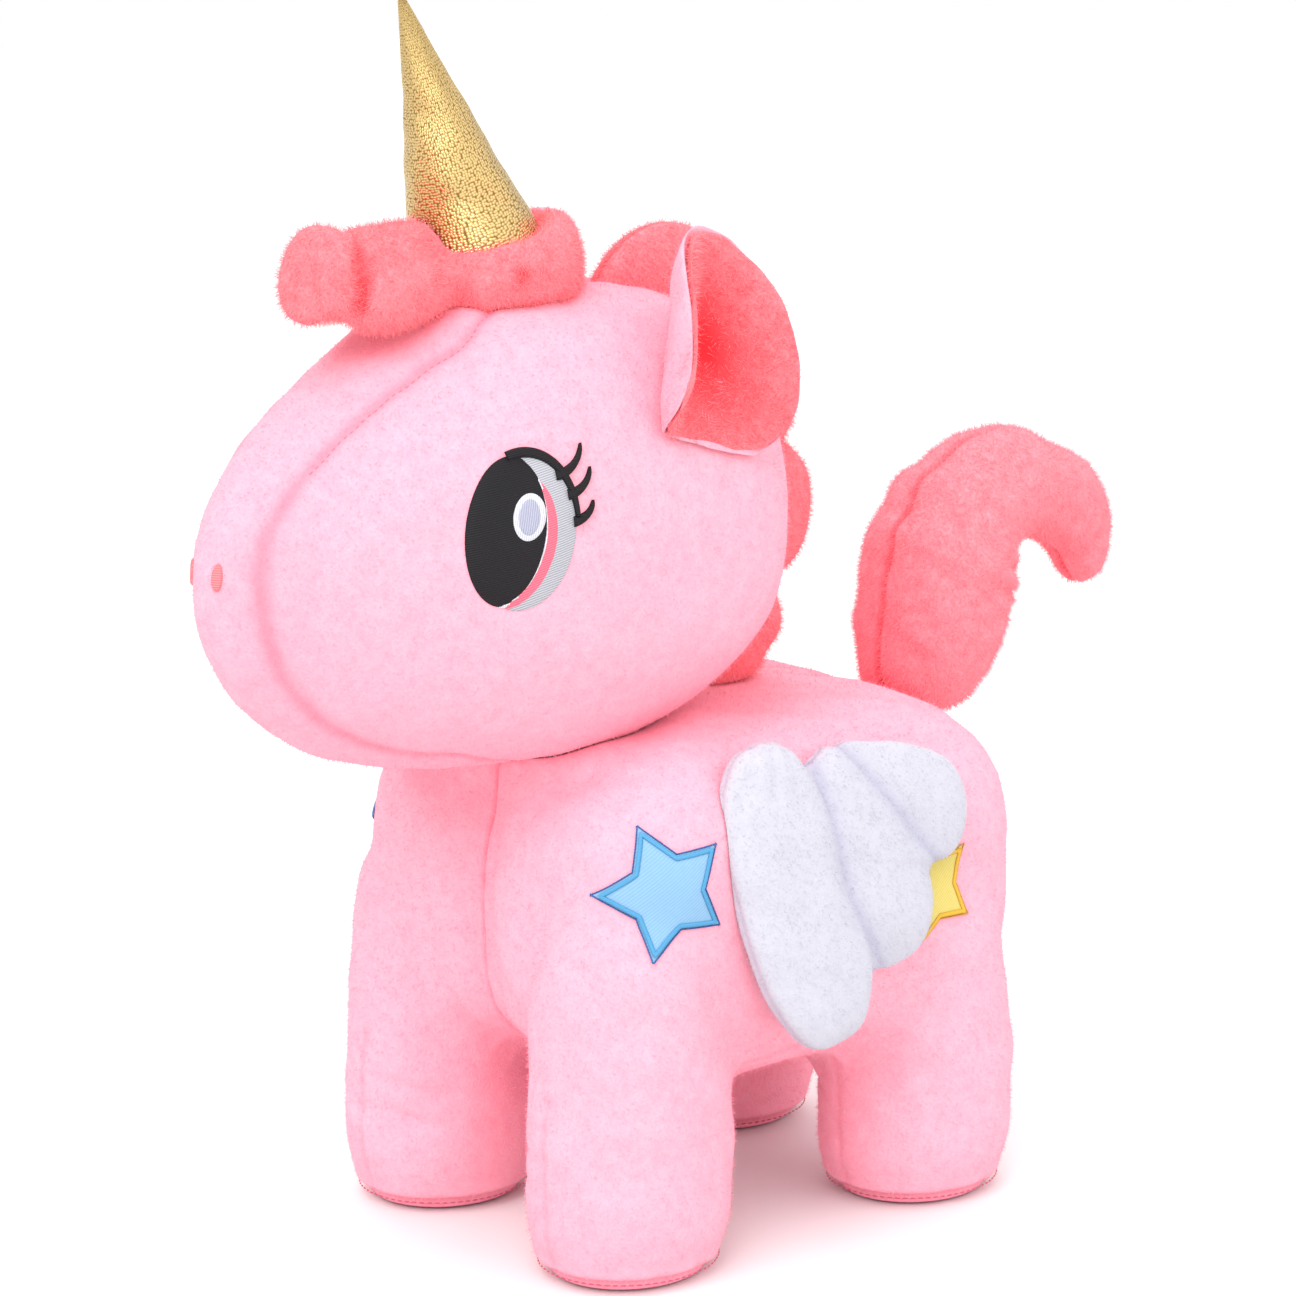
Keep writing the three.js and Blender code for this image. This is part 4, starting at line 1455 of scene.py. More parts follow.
@dataclass
class Body:
    """Torso, neck and four legs in one stuffed cover, with a deep seam down the chest."""

    half: tuple[float, float, float] = (FLANK_X, 96.0, 62.0)
    centre: tuple[float, float, float] = (0.0, 4.0, 110.0)
    plan: float = 4.5
    side: float = 3.1
    neck_y: float = -39.0
    neck_radius: float = 47.0
    neck_top: float = 168.0
    leg_x: float = 49.0
    leg_y: tuple[float, float] = (FRONT_LEG_Y, 58.0)
    leg_half: tuple[float, float] = (33.0, 36.0)
    leg_outline: tuple[tuple[float, float], ...] = (
        (0.74, 0.6), (0.93, 10.0), (1.0, 27.0), (0.97, 62.0), (0.86, 104.0), (0.5, 126.0))
    panel_x: float = 49.0
    panel_top: float = 62.0
    shoulder: tuple[float, float, float] = (60.0, -64.0, 148.0)
    shoulder_rise: float = 6.0
    sole_share: float = 0.74
    sole_thickness: float = 3.0

    def leg(self, y: float, side: Side) -> Form:
        """One leg's stuffed column.

        Args:
            y: Its middle along the toy.
            side: Its side.
        Returns:
            The form.
        """
        outline = spline(self.leg_outline, 40)
        radius = np.concatenate([outline[:, 0], [0.0]])
        height = np.concatenate([outline[:, 1], [132.0]])

        def place(p: Points) -> Points:
            """Moves the unit ball's points to the column's skin."""
            down = np.arccos(np.clip(p[:, 2], -1, 1)) / math.pi
            flat = np.maximum(np.hypot(p[:, 0], p[:, 1]), 1e-9)
            t = (1 - down) * (len(radius) - 1)
            r = np.interp(t, np.arange(len(radius)), radius)
            z = np.interp(t, np.arange(len(height)), height)
            r = np.where(down > 0.999, 0, r)
            x = p[:, 0] / flat * r * self.leg_half[0]
            y_out = p[:, 1] / flat * r * self.leg_half[1]
            return np.stack([self.leg_x * side.value + x, y + y_out, z], 1)

        return Form.ball(place, 60, 56)

    def shaped(self, head: BVHTree) -> tuple[Form, Points]:
        """The finished cover.

        Args:
            head: The head's surface, which the neck meets.
        Returns:
            The form, and how deep in a seam each point lies, for the painted shade there.
        """
        trunk = superellipsoid(self.centre, self.half, self.plan, self.side, 64, 96)
        low = self.centre[2]
        neck = superellipsoid(
            (0, self.neck_y, (low + self.neck_top) / 2), (self.neck_radius, self.neck_radius,
            (self.neck_top - low) / 2), 2.0, 8.0, 32, 56)
        legs = [self.leg(y, side) for y in self.leg_y for side in Side]
        form = trunk.with_others(neck, *legs).welded(4.6)
        p = form.points
        held = (p[:, 2] < 7) | ((np.abs(p[:, 0]) < 3) & (np.abs(p[:, 1]) > 60)) | (p[:, 2] > 160)
        form = form.pushed(np.where(held, 0.0, -1.6)).inflated(held, 4.0, 5.0).finer(2)
        p = form.points
        out = form.normals()
        front = np.clip((-30 - p[:, 1]) / 30, 0, 1) * np.clip((p[:, 2] - 42) / 14, 0, 1)
        rear = np.clip((p[:, 1] - 40) / 30, 0, 1) * np.clip((p[:, 2] - 42) / 14, 0, 1)
        middle = np.abs(p[:, 0])
        chest = bell(middle, 11.0) * front
        centre_line = bell(middle, 1.7) * np.maximum(front, rear)
        end_face = np.clip((np.abs(out[:, 1]) - 0.45) / 0.3, 0, 1) * (p[:, 2] < self.panel_top)
        panel = bell(middle - self.panel_x, 1.5) * end_face
        over = bell(p[:, 2] - self.panel_top - 1, 1.6) * (np.abs(out[:, 2]) < 0.8) * (middle > 40) * (
            np.abs(p[:, 1] + 4) < 28)
        rim = bell(p[:, 2] - 4.2, 1.3)
        crease = np.zeros(len(p))
        for y in self.leg_y:
            for sign in (1, -1):
                ring = np.hypot((p[:, 0] - sign * self.leg_x) / self.leg_half[0],
                                (p[:, 1] - y) / self.leg_half[1])
                inner = np.clip((38 - middle) / 14, 0, 1)
                crease = np.maximum(crease, bell((ring - 1.05) * 34, 6) * bell(p[:, 2] - 58, 22) * inner)
        wave = np.clip((p[:, 2] - 12) / 20, 0, 1)
        shoulder = bell(np.linalg.norm(np.abs(p * [1, 0, 0]) + p * [0, 1, 1] - self.shoulder, axis=1), 34)
        pucker = 1 + 0.4 * np.sin(p[:, 2] * TURN / 10 + 2 * ripple(p, 50, 8))
        form.pushed(
            -6.0 * chest - 2.2 * bell(middle, 7.0) * rear - 1.5 * centre_line * pucker
            - 0.5 * panel * pucker - 0.4 * over - 1.3 * rim - 1.6 * crease
            + wave * (0.9 * ripple(p, 48, 11) + 0.4 * ripple(p, 19, 12)) + self.shoulder_rise * shoulder)
        for y, z, deep in ((self.leg_y[0], 33, 1.4), (self.leg_y[0], 44, 0.9), (self.leg_y[1], 40, 1.2)):
            p = form.points
            fold = bell(p[:, 2] - z - 3 * np.sin(p[:, 0] / 9), 2.4) * (np.abs(p[:, 1] - y) < 44)
            fold *= np.clip((32 - np.abs(np.abs(p[:, 0]) - self.leg_x) - 6 * (p[:, 1] > y)) / 14, 0, 1)
            form.pushed(-deep * fold * np.clip((out[:, 0] * -np.sign(p[:, 0]) + 0.2), 0, 1))
        form.points[:, 2] = np.maximum(form.points[:, 2], 0.7)
        form.clear_of(head, 0.5, form.points[:, 2] > 140)
        # Painted shade: the seams down the chest and rump, on the leg panels, over the belly panel and round the
        # soles, the chest's dip and the creases between the legs.
        return form, np.maximum.reduce([
            0.5 * centre_line, 0.18 * panel, 0.15 * over, 0.4 * rim, 0.2 * chest, 0.2 * crease])

    def soles(self, shop: Workshop) -> None:
        """Makes the four soles with the sewn line round each.

        Args:
            shop: The workshop.
        """
        for y, end in zip(self.leg_y, ("front", "rear")):
            for side in Side:
                half = np.array(self.leg_half) * self.sole_share - 1.0
                x = self.leg_x * side.value
                disc = superellipsoid((x, y, 2.0), (half[0], half[1], 2.0), 2.0, 3.2, 24, 72)
                name = f"sole_{end}_{side.word}"
                shop.piece(f"{name}_cover", disc, "sole", "body", [name])
                turn = np.linspace(0, TURN, 120, endpoint=False)
                ring = np.stack([
                    x + (half[0] + 4.2) * np.cos(turn), y + (half[1] + 4.2) * np.sin(turn), np.full(120, 4.2)], 1)
                out = np.stack([np.cos(turn), np.sin(turn), np.full(120, -0.3)], 1)
                SOLE_SEAM.sew(shop, f"{name}_stitches", ring, out, "body", "light_pink_plush", True)


SOLE_SEAM = Stitches(2.6, 1.9, 0.55, Lay.ALONG, "sole_stitch")
PANEL_SEAM = Stitches(2.5, 1.5, 0.4, Lay.ALONG, "seam_stitch")


@dataclass
class Star:
    """A five-pointed applique with a satin stitched edge."""

    colour: str
    y: float
    z: float
    radius: float
    facing: float
    turn: float = 38.0
    waist: float = 0.57
    border: float = 1.5
    far_shift: float = 0.0

    def outline(self, inset: float, per_edge: int) -> Points:
        """The star's outline.

        Args:
            inset: How far its edges are moved in.
            per_edge: Points along each edge.
        Returns:
            The outline's points in the star's own plane.
        """
        tip = self.radius - inset / math.sin(math.radians(27))
        corners = []
        for i in range(10):
            angle = math.radians(self.turn + 36 * i)
            reach = tip * (self.waist if i % 2 else 1)
            corners.append([reach * math.cos(angle), reach * math.sin(angle)])
        corners = np.array(corners)
        steps = np.linspace(0, 1, per_edge, endpoint=False)[:, None]
        return np.vstack([a + (b - a) * steps for a, b in zip(corners, np.roll(corners, -1, 0))])

    def build(self, shop: Workshop, cloth: BVHTree, side: Side) -> None:
        """Sews the star on one flank.

        Args:
            shop: The workshop.
            cloth: The body's surface.
            side: The flank.
        """
        mirror = np.array([side.value, 1.0, 1.0])
        far = self.far_shift if side is Side.RIGHT else 0.0
        hoop = Hoop(np.array([FLANK_X, self.y + far, self.z]) * mirror,
                    np.array([1.0, self.facing, 0.0]) * mirror, cloth)
        flip = np.array([side.value, 1.0])
        node = f"star_{self.colour}"
        form, uv = hoop.disc(self.outline(0.1, 9) * flip, (0, 0), 0.9, 12)
        patch = shop.piece(f"{node}_patch_{side.word}", form, self.colour, "body",
                           [f"{node}_{side.word}"], uv=uv)
        edge = "blue_satin_stitch" if self.colour == "blue" else "gold_satin_stitch"
        threads = ("blue_stitch", "navy_stitch") if self.colour == "blue" else ("gold_stitch", "amber_stitch")
        rows = [
            ("border", self.border * 0.75,
             Stitches(0.42, self.border * 1.15, 0.75, Lay.ACROSS, threads[0], 0.12), 0.95),
            ("outline", 0.0, Stitches(0.9, 1.25, 0.55, Lay.ALONG, threads[1], 0.1), 0.45),
        ]
        for name, inset, stitches, height in rows:
            line, outs = [], []
            for u, v in self.outline(inset, 12) * flip:
                place, out = hoop.laid(float(u), float(v))
                line.append(place + out * height)
                outs.append(out)
            made = stitches.sew(shop, f"{node}_{name}_satin_{side.word}", np.array(line),
                                np.array(outs), "body", edge, True)
            if name == "border":
                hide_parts(f"{node}_border_{side.word}")
        area = self.area() * MM * MM

    def area(self) -> float:
        """The area of the cut star in square millimetres."""
        o = self.outline(self.border * 0.5, 1)
        return 0.5 * abs(float(np.sum(o[:, 0] * np.roll(o[:, 1], -1) - o[:, 1] * np.roll(o[:, 0], -1))))


# ---------------------------------------------------------------- horn and forelock


@dataclass
class Horn:
    """A soft cone of foil knit, a little slack at its foot."""

    base: tuple[float, float, float] = (0.0, -80.0, 305.0)
    length: float = 100.0
    radius: float = 26.0
    tip_radius: float = 1.6
    tilt: float = 19.0
    belly: float = 1.04
    stem: float = 12.0
    seam_turn: float = 200.0
    slack: float = 45.0
    foot: float = 20.0

    def placed(self, p: Points) -> Points:
        """Moves points from the horn's own axis to its place on the head."""
        return turned_about(p, "x", self.tilt) + np.array(self.base)

    def build(self, shop: Workshop, head: BVHTree) -> None:
        """Sews the horn.

        Args:
            shop: The workshop.
            head: The head's surface, which the foot follows.
        """
        rows, columns = 150, 120
        share = np.linspace(0, 1, rows)
        mid = self.radius * 0.5 * self.belly
        radius = (1 - share) ** 2 * self.radius + 2 * share * (1 - share) * mid + share**2 * self.tip_radius
        z = share * self.length
        cap = np.linspace(0, math.pi / 2, 8)[1:]
        radius = np.concatenate([[self.radius - 4, self.radius], radius, self.tip_radius * np.cos(cap[:-1])])
        z = np.concatenate([[-self.stem, -self.stem + 3], z, self.length + self.tip_radius * np.sin(cap[:-1])])
        turn = np.linspace(0, TURN, columns, endpoint=False)
        ring = np.stack([np.outer(radius, np.cos(turn)), np.outer(radius, np.sin(turn)),
                         np.outer(z, np.ones(columns))], -1)
        flat = ring.reshape(-1, 3)
        level = np.repeat(z, columns)
        spin = np.tile(turn, len(z))
        size = np.hypot(flat[:, 0], flat[:, 1])
        away = np.abs((spin - math.radians(self.seam_turn) + math.pi) % (TURN) - math.pi) * size
        foot = np.clip(1 - level / self.slack, 0, 1)
        dent = (-0.8 * bell(away, 1.3) - 0.5 * bell(away, 4)
                + 0.5 * ripple(flat, 24, 21) * np.clip(size / 12, 0, 1)
                + foot * 0.45 * np.sin(level / 3.4 + 1.6 * np.sin(spin * 2 + 1)) * np.cos(spin - 1.2)
                + 0.12 * np.sin(level / 2.1 + 2 * spin) * bell(level - 55, 30))
        outward = flat.copy()
        outward[:, 2] = 0
        outward /= np.maximum(np.linalg.norm(outward, axis=1, keepdims=True), 1e-6)
        flat = flat + outward * (dent * np.clip(size / 8, 0, 1))[:, None]
        count = len(z)
        faces: list[tuple[int, ...]] = []
        for r in range(count - 1):
            for c in range(columns):
                n = (c + 1) % columns
                faces.append((r * columns + c, r * columns + n, (r + 1) * columns + n, (r + 1) * columns + c))
        faces.append(tuple(range(columns))[::-1])
        faces.append(tuple((count - 1) * columns + c for c in range(columns)))
        form = Form(self.placed(flat), faces).outward()
        around = np.where(spin > math.pi, spin - TURN, spin)
        uv = np.stack([around * self.radius / 2, level], 1)
        axis = self.placed(np.array([[0.0, 0.0, 1.0]]))[0] - np.array(self.base)
        for i in np.flatnonzero(level < self.foot):
            found, out, _, _ = head.ray_cast(Vector(form.points[i]), Vector(axis))
            if found is not None and out.dot(Vector(axis)) > 0:
                form.points[i] = np.array(found) + axis * 0.6
        made = shop.piece("horn_foil_cover", form, "foil", "horn",
                          ["horn_cover", "horn_fill"], uv=uv)


@dataclass
class Forelock:
    """A folded length of coral plush wrapped round the foot of the horn, flared at the front."""

    horn: Horn
    ring_radius: float = 24.0
    ring_half: tuple[float, float] = (6.5, 12.0)
    ring_lift: float = 13.0
    ring_tilt: float = 8.0
    folds: tuple[tuple[tuple[float, float, float], tuple[float, float, float], float, float], ...] = (
        ((9.0, -121.0, 314.0), (13.0, 25.0, 11.0), 8.0, 14.0),
        ((-9.0, -121.0, 315.0), (13.0, 25.0, 11.0), 8.0, -14.0),
        ((0.0, -118.0, 325.0), (12.0, 24.0, 8.5), 2.0, 6.0),
        ((3.0, -148.0, 320.0), (13.0, 6.5, 16.0), -16.0, 12.0))

    def build(self, shop: Workshop, head: BVHTree) -> None:
        """Sews the forelock.

        Args:
            shop: The workshop.
            head: The head's surface, which it lies on.
        """
        major, minor = 96, 28
        a = np.linspace(0, TURN, major, endpoint=False)
        b = np.linspace(0, TURN, minor, endpoint=False)
        width = self.ring_half[0] + 1.2 * np.sin(3 * a + 0.6)
        tall = self.ring_half[1] + 1.6 * np.sin(2 * a - 0.8)
        r = self.ring_radius + np.outer(width, np.cos(b))
        z = self.ring_lift + np.outer(tall, np.sin(b))
        flat = np.stack([r * np.cos(a)[:, None], r * np.sin(a)[:, None], z], -1).reshape(-1, 3)
        faces = [
            (i * minor + j, ((i + 1) % major) * minor + j, ((i + 1) % major) * minor + (j + 1) % minor,
             i * minor + (j + 1) % minor) for i in range(major) for j in range(minor)]
        ring = Form(turned_about(flat, "x", self.ring_tilt) + np.array(self.horn.base), faces).outward()
        pads = []
        for centre, half, tilt, yaw in self.folds:
            pad = superellipsoid((0, 0, 0), half, 2.4, 2.2, 36, 48)
            pad.points = turned_about(turned_about(pad.points, "x", tilt), "z", yaw) + np.array(centre)
            pads.append(pad)
        form = ring.with_others(*pads).welded(2.4).smoothed(2).finer(1)
        p = form.points
        folds = [
            (spline([(20, -146, 304), (15, -139, 322), (0, -136, 338)], 14), 3.0, 2.6),
            (spline([(27, -116, 306), (22, -112, 322), (10, -108, 334)], 12), 3.4, 3.0),
            (spline([(34, -92, 306), (30, -90, 318)], 8), 1.8, 2.6),
            (spline([(-20, -146, 304), (-15, -139, 322), (0, -136, 338)], 14), 3.0, 2.6),
            (spline([(-27, -120, 306), (-24, -116, 322), (-12, -112, 332)], 12), 2.4, 2.6),
        ]
        # fold marks the creases for painted shade, while amount dents them.
        fold = np.zeros(len(p))
        amount = np.zeros(len(p))
        for line, deep, wide in folds:
            near = bell(distance_to_line(p, line), wide)
            fold = np.maximum(fold, near)
            amount = amount - deep * near
        form.pushed(amount + 0.8 * ripple(p, 22, 31))
        axis_points = turned_about(form.points - np.array(self.horn.base), "x", -self.horn.tilt)
        size = np.hypot(axis_points[:, 0], axis_points[:, 1])
        share = np.clip(axis_points[:, 2] / self.horn.length, 0, 1)
        limit = self.horn.radius * (1 - share) + 1.2
        inside = (size < limit) & (axis_points[:, 2] > -6)
        grow = np.where(inside, limit / np.maximum(size, 1e-3), 1.0)
        axis_points[:, 0] *= grow
        axis_points[:, 1] *= grow
        form.points = turned_about(axis_points, "x", self.horn.tilt) + np.array(self.horn.base)
        form.clear_of(head, 0.4)
        made = shop.piece("forelock", form, "coral", "head",
                          ["forelock_wrap", "forelock_tuft"], fold=0.8 * fold)
        LONG_CORAL.grow(shop, made, "head", "coral_plush", 41)


# ---------------------------------------------------------------- mane


@dataclass
class Mane:
    """Padded scallops that stand along the middle of the head and down its back."""

    nose_y: float = -188.0
    head_length: float = 206.0
    axis_z: float = 234.0
    crown: float = 74.0
    lobes: int = 4
    half_length: float = 25.0
    half_thickness: float = 9.5
    rise: float = 31.0
    first: float = 0.728
    last: float = 1.162

    def lobe(self, index: int) -> Form:
        """One scallop.

        Args:
            index: Its number from the front.
        Returns:
            The form in place.
        """
        share = self.first + (self.last - self.first) * index / (self.lobes - 1)
        angle = math.pi * share
        half = self.head_length / 2
        point = np.array([0.0, self.nose_y + half - math.cos(angle) * (half + 4),
                          self.axis_z + math.sin(angle) * self.crown])
        out = np.array([0.0, -math.cos(angle) * self.crown, math.sin(angle) * half])
        out /= np.linalg.norm(out)
        along = np.cross([1.0, 0.0, 0.0], out)
        grow = 1.26 if index == 0 else 1.0
        form = superellipsoid((0, 0, 0), (self.half_thickness, self.rise * grow, self.half_length * grow),
                              2.2, 2.3, 44, 56)
        basis = np.stack([np.array([1.0, 0, 0]), out, along], 1)
        form.points = form.points @ basis.T + point
        return form

    def build(self, shop: Workshop, body: BVHTree) -> None:
        """Sews the mane.

        Args:
            shop: The workshop.
            body: The body's surface, which the lowest scallop stays clear of.
        """
        for index in range(self.lobes):
            form = self.lobe(index).finer(1)
            p = form.points
            edge = bell(p[:, 0], 1.6)
            ribs = np.sin(distance_to_line(p, np.array([[0, -60, 234], [0, -20, 234]])) / 3.1 + index)
            form.pushed(-1.0 * edge + 0.9 * ripple(p, 24, 50 + index) + 0.25 * ribs)
            form.clear_of(body, 0.6)
            # Painted shade along the seam round each scallop's rim, where its two halves meet.
            made = shop.piece(f"mane_scallop_{index + 1}", form, "coral", "head",
                              [f"mane_lobe_{index + 1}"], fold=0.5 * edge)
            LONG_CORAL.grow(shop, made, "head", "coral_plush", 60 + index)


# ---------------------------------------------------------------- ears


@dataclass
class Ear:
    """A cupped leaf of pink plush lined with coral plush, folded at its foot."""

    centre: tuple[float, float, float] = (45.0, -34.0, 295.0)
    half_width: float = 24.0
    half_length: float = 36.0
    curl: float = 1.42
    lean: float = 7.0
    rake: float = 17.0
    facing: float = 98.0
    taper: float = 0.28
    point: float = 0.55

    def leaf(self, thick: float, offset: float, shrink: float) -> Form:
        """One layer of the ear.

        Args:
            thick: Its thickness in the middle.
            offset: How far it stands along the way the ear faces.
            shrink: Its size in the ear's outline.
        Returns:
            The form in place on the left.
        """

        def place(p: Points) -> Points:
            """Moves the unit ball's points to the leaf's skin."""
            flat = np.maximum(np.hypot(p[:, 0], p[:, 1]), 1e-9)
            power = (np.abs(p[:, 0] / flat) ** 2.6 + np.abs(p[:, 1] / flat) ** 2.6 + 1e-9) ** (-1 / 2.6)
            spread = np.minimum(flat, 1.0) ** 0.8
            u = p[:, 0] / flat * power * spread * shrink
            v = p[:, 1] / flat * power * spread * shrink
            tip = np.where(v > 0, np.sqrt(np.maximum(1 - self.point * v * v, 0)), 1)
            across = u * (1 - self.taper * v) * tip
            bend = across * self.curl
            bow = self.half_width / math.sin(self.curl) * (1 - np.cos(bend))
            across = np.sin(bend) / math.sin(self.curl)
            dish = -3.2 * np.exp(-((across / 0.5) ** 2 + ((v + 0.1) / 0.6) ** 2))
            depth = np.sign(p[:, 2]) * np.abs(p[:, 2]) ** 0.75 * thick / 2
            return np.stack([across * self.half_width, v * self.half_length, offset + bow + dish + depth], 1)

        form = Form.ball(place, 40, 96)
        q = turned_about(form.points, "z", -self.rake)
        q = turned_about(q, "x", -self.lean)
        q = np.stack([q[:, 0], -q[:, 2], q[:, 1]], 1)
        form.points = turned_about(q, "z", self.facing) + np.array(self.centre)
        return form.outward()

    def build(self, shop: Workshop, head: BVHTree, side: Side) -> None:
        """Sews the ear.

        Args:
            shop: The workshop.
            head: The head's surface, which the ear stays clear of.
            side: The side of the head.
        """
        word = side.word
        for name, node, thick, offset, shrink, finish, slot in (
            ("back", "outer", 4.6, -1.6, 1.0, "pink", "light_pink_plush"),
            ("lining", "inner", 4.2, 2.2, 0.95, "coral", "coral_plush"),
        ):
            form = self.leaf(thick, offset, shrink).on(side).finer(1)
            p = form.points
            form.pushed(0.7 * ripple(p, 20, 70 if name == "back" else 71))
            form = form.clear_of(head, 2.0).smoothed(8).clear_of(head, 0.5)
            p = form.points
            local = (p * [side.value, 1, 1] - np.array(self.centre))
            deep = pile = None
            if name == "lining":
                # Painted shade in the hollow of the lining: the deep red is mixed in towards its middle, where
                # the pile also thins.
                deep = bell(np.hypot(local[:, 1] * 0.9, (local[:, 2] + 2) * 0.55), 15)
                pile = 1 - 0.85 * deep
            made = shop.piece(f"ear_{name}_{word}", form, finish, f"ear_{word}",
                              [f"ear_{node}_{word}"], fold=deep, pile=pile)
            plush = LONG_CORAL if name == "lining" else SHORT_PINK
            plush.grow(shop, made, f"ear_{word}", slot, 80 + side.value)


# ---------------------------------------------------------------- tail


@dataclass
class Tail:
    """A stuffed tube that swells, curls up and over, and closes at its tip."""

    line: tuple[tuple[float, float, float], ...] = (
        (0, 96, 150), (0, 110, 180), (0, 117, 208), (0, 138, 224), (0, 163, 221), (0, 181, 205),
        (0, 186, 184))
    girths: tuple[tuple[float, float], ...] = ((0.0, 23.0), (0.3, 26.0), (0.5, 22.5), (0.66, 18.5), (1.0, 11.0))

    def build(self, shop: Workshop, body: BVHTree) -> None:
        """Sews the tail.

        Args:
            shop: The workshop.
            body: The body's surface, which the tail stays clear of.
        """
        dense = spline(self.line, 400)
        steps = np.concatenate([[0], np.cumsum(np.linalg.norm(np.diff(dense, axis=0), axis=1))])
        total = steps[-1]
        girth_line = spline(self.girths, 200)

        def along(share: Points) -> Points:
            """The places at shares of the tail's length."""
            return np.stack([np.interp(share * total, steps, dense[:, k]) for k in range(3)], 1)

        def place(p: Points) -> Points:
            """Moves the unit ball's points to the tube's skin."""
            down = np.arccos(np.clip(p[:, 2], -1, 1)) / math.pi
            share = np.clip(down + 0.02 * np.sin(TURN * down), 0, 1)
            ends = np.sqrt(np.maximum(1 - np.abs(2 * share - 1) ** 7, 0))
            girth = np.interp(share, girth_line[:, 0], girth_line[:, 1]) * ends
            way = along(np.minimum(share + 0.01, 1)) - along(np.maximum(share - 0.01, 0))
            way /= np.maximum(np.linalg.norm(way, axis=1, keepdims=True), 1e-9)
            out = np.cross(way, [1.0, 0.0, 0.0])
            ring = np.arctan2(p[:, 1], p[:, 0])
            across = np.outer(girth * np.cos(ring), [1.0, 0, 0])
            return along(share) + out * (girth * np.sin(ring))[:, None] + across

        form = Form.ball(place, 110, 84)
        p = form.points
        seam = bell(p[:, 0], 1.5)
        bend = bell(distance_to_line(p, np.array([[-40, 128, 196], [40, 128, 196]])), 15)
        gather = np.sin(np.arctan2(p[:, 2] - 186, p[:, 1] - 146) * 17)
        outer = bell(distance_to_line(p, np.array([[-10, 104, 222], [10, 104, 222]])), 20)
        tip_fold = sum(
            bell(distance_to_line(
                p, spline([(18 * sign, 172, 226), (20 * sign, 178, 206), (12 * sign, 176, 192)], 12)), 2.2)
            for sign in (1, -1))
        form.pushed(-1.6 * seam - 0.5 * bell(p[:, 0], 6) + 1.3 * bend * gather + 1.1 * outer * gather
                    - 1.6 * tip_fold + 1.1 * ripple(p, 34, 90) + 0.4 * ripple(p, 13, 91))
        form.clear_of(body, 0.6)
        # Painted shade along the tail's middle seam and in the folds near its tip.
        made = shop.piece("tail_pad", form, "blush", "tail",
                          ["tail_cover_left", "tail_cover_right", "tail_fill"],
                          fold=np.clip(0.7 * seam + 0.3 * tip_fold, 0, 1))
        LONG_BLUSH.grow(shop, made, "tail", "coral_plush", 95)


# ---------------------------------------------------------------- wings


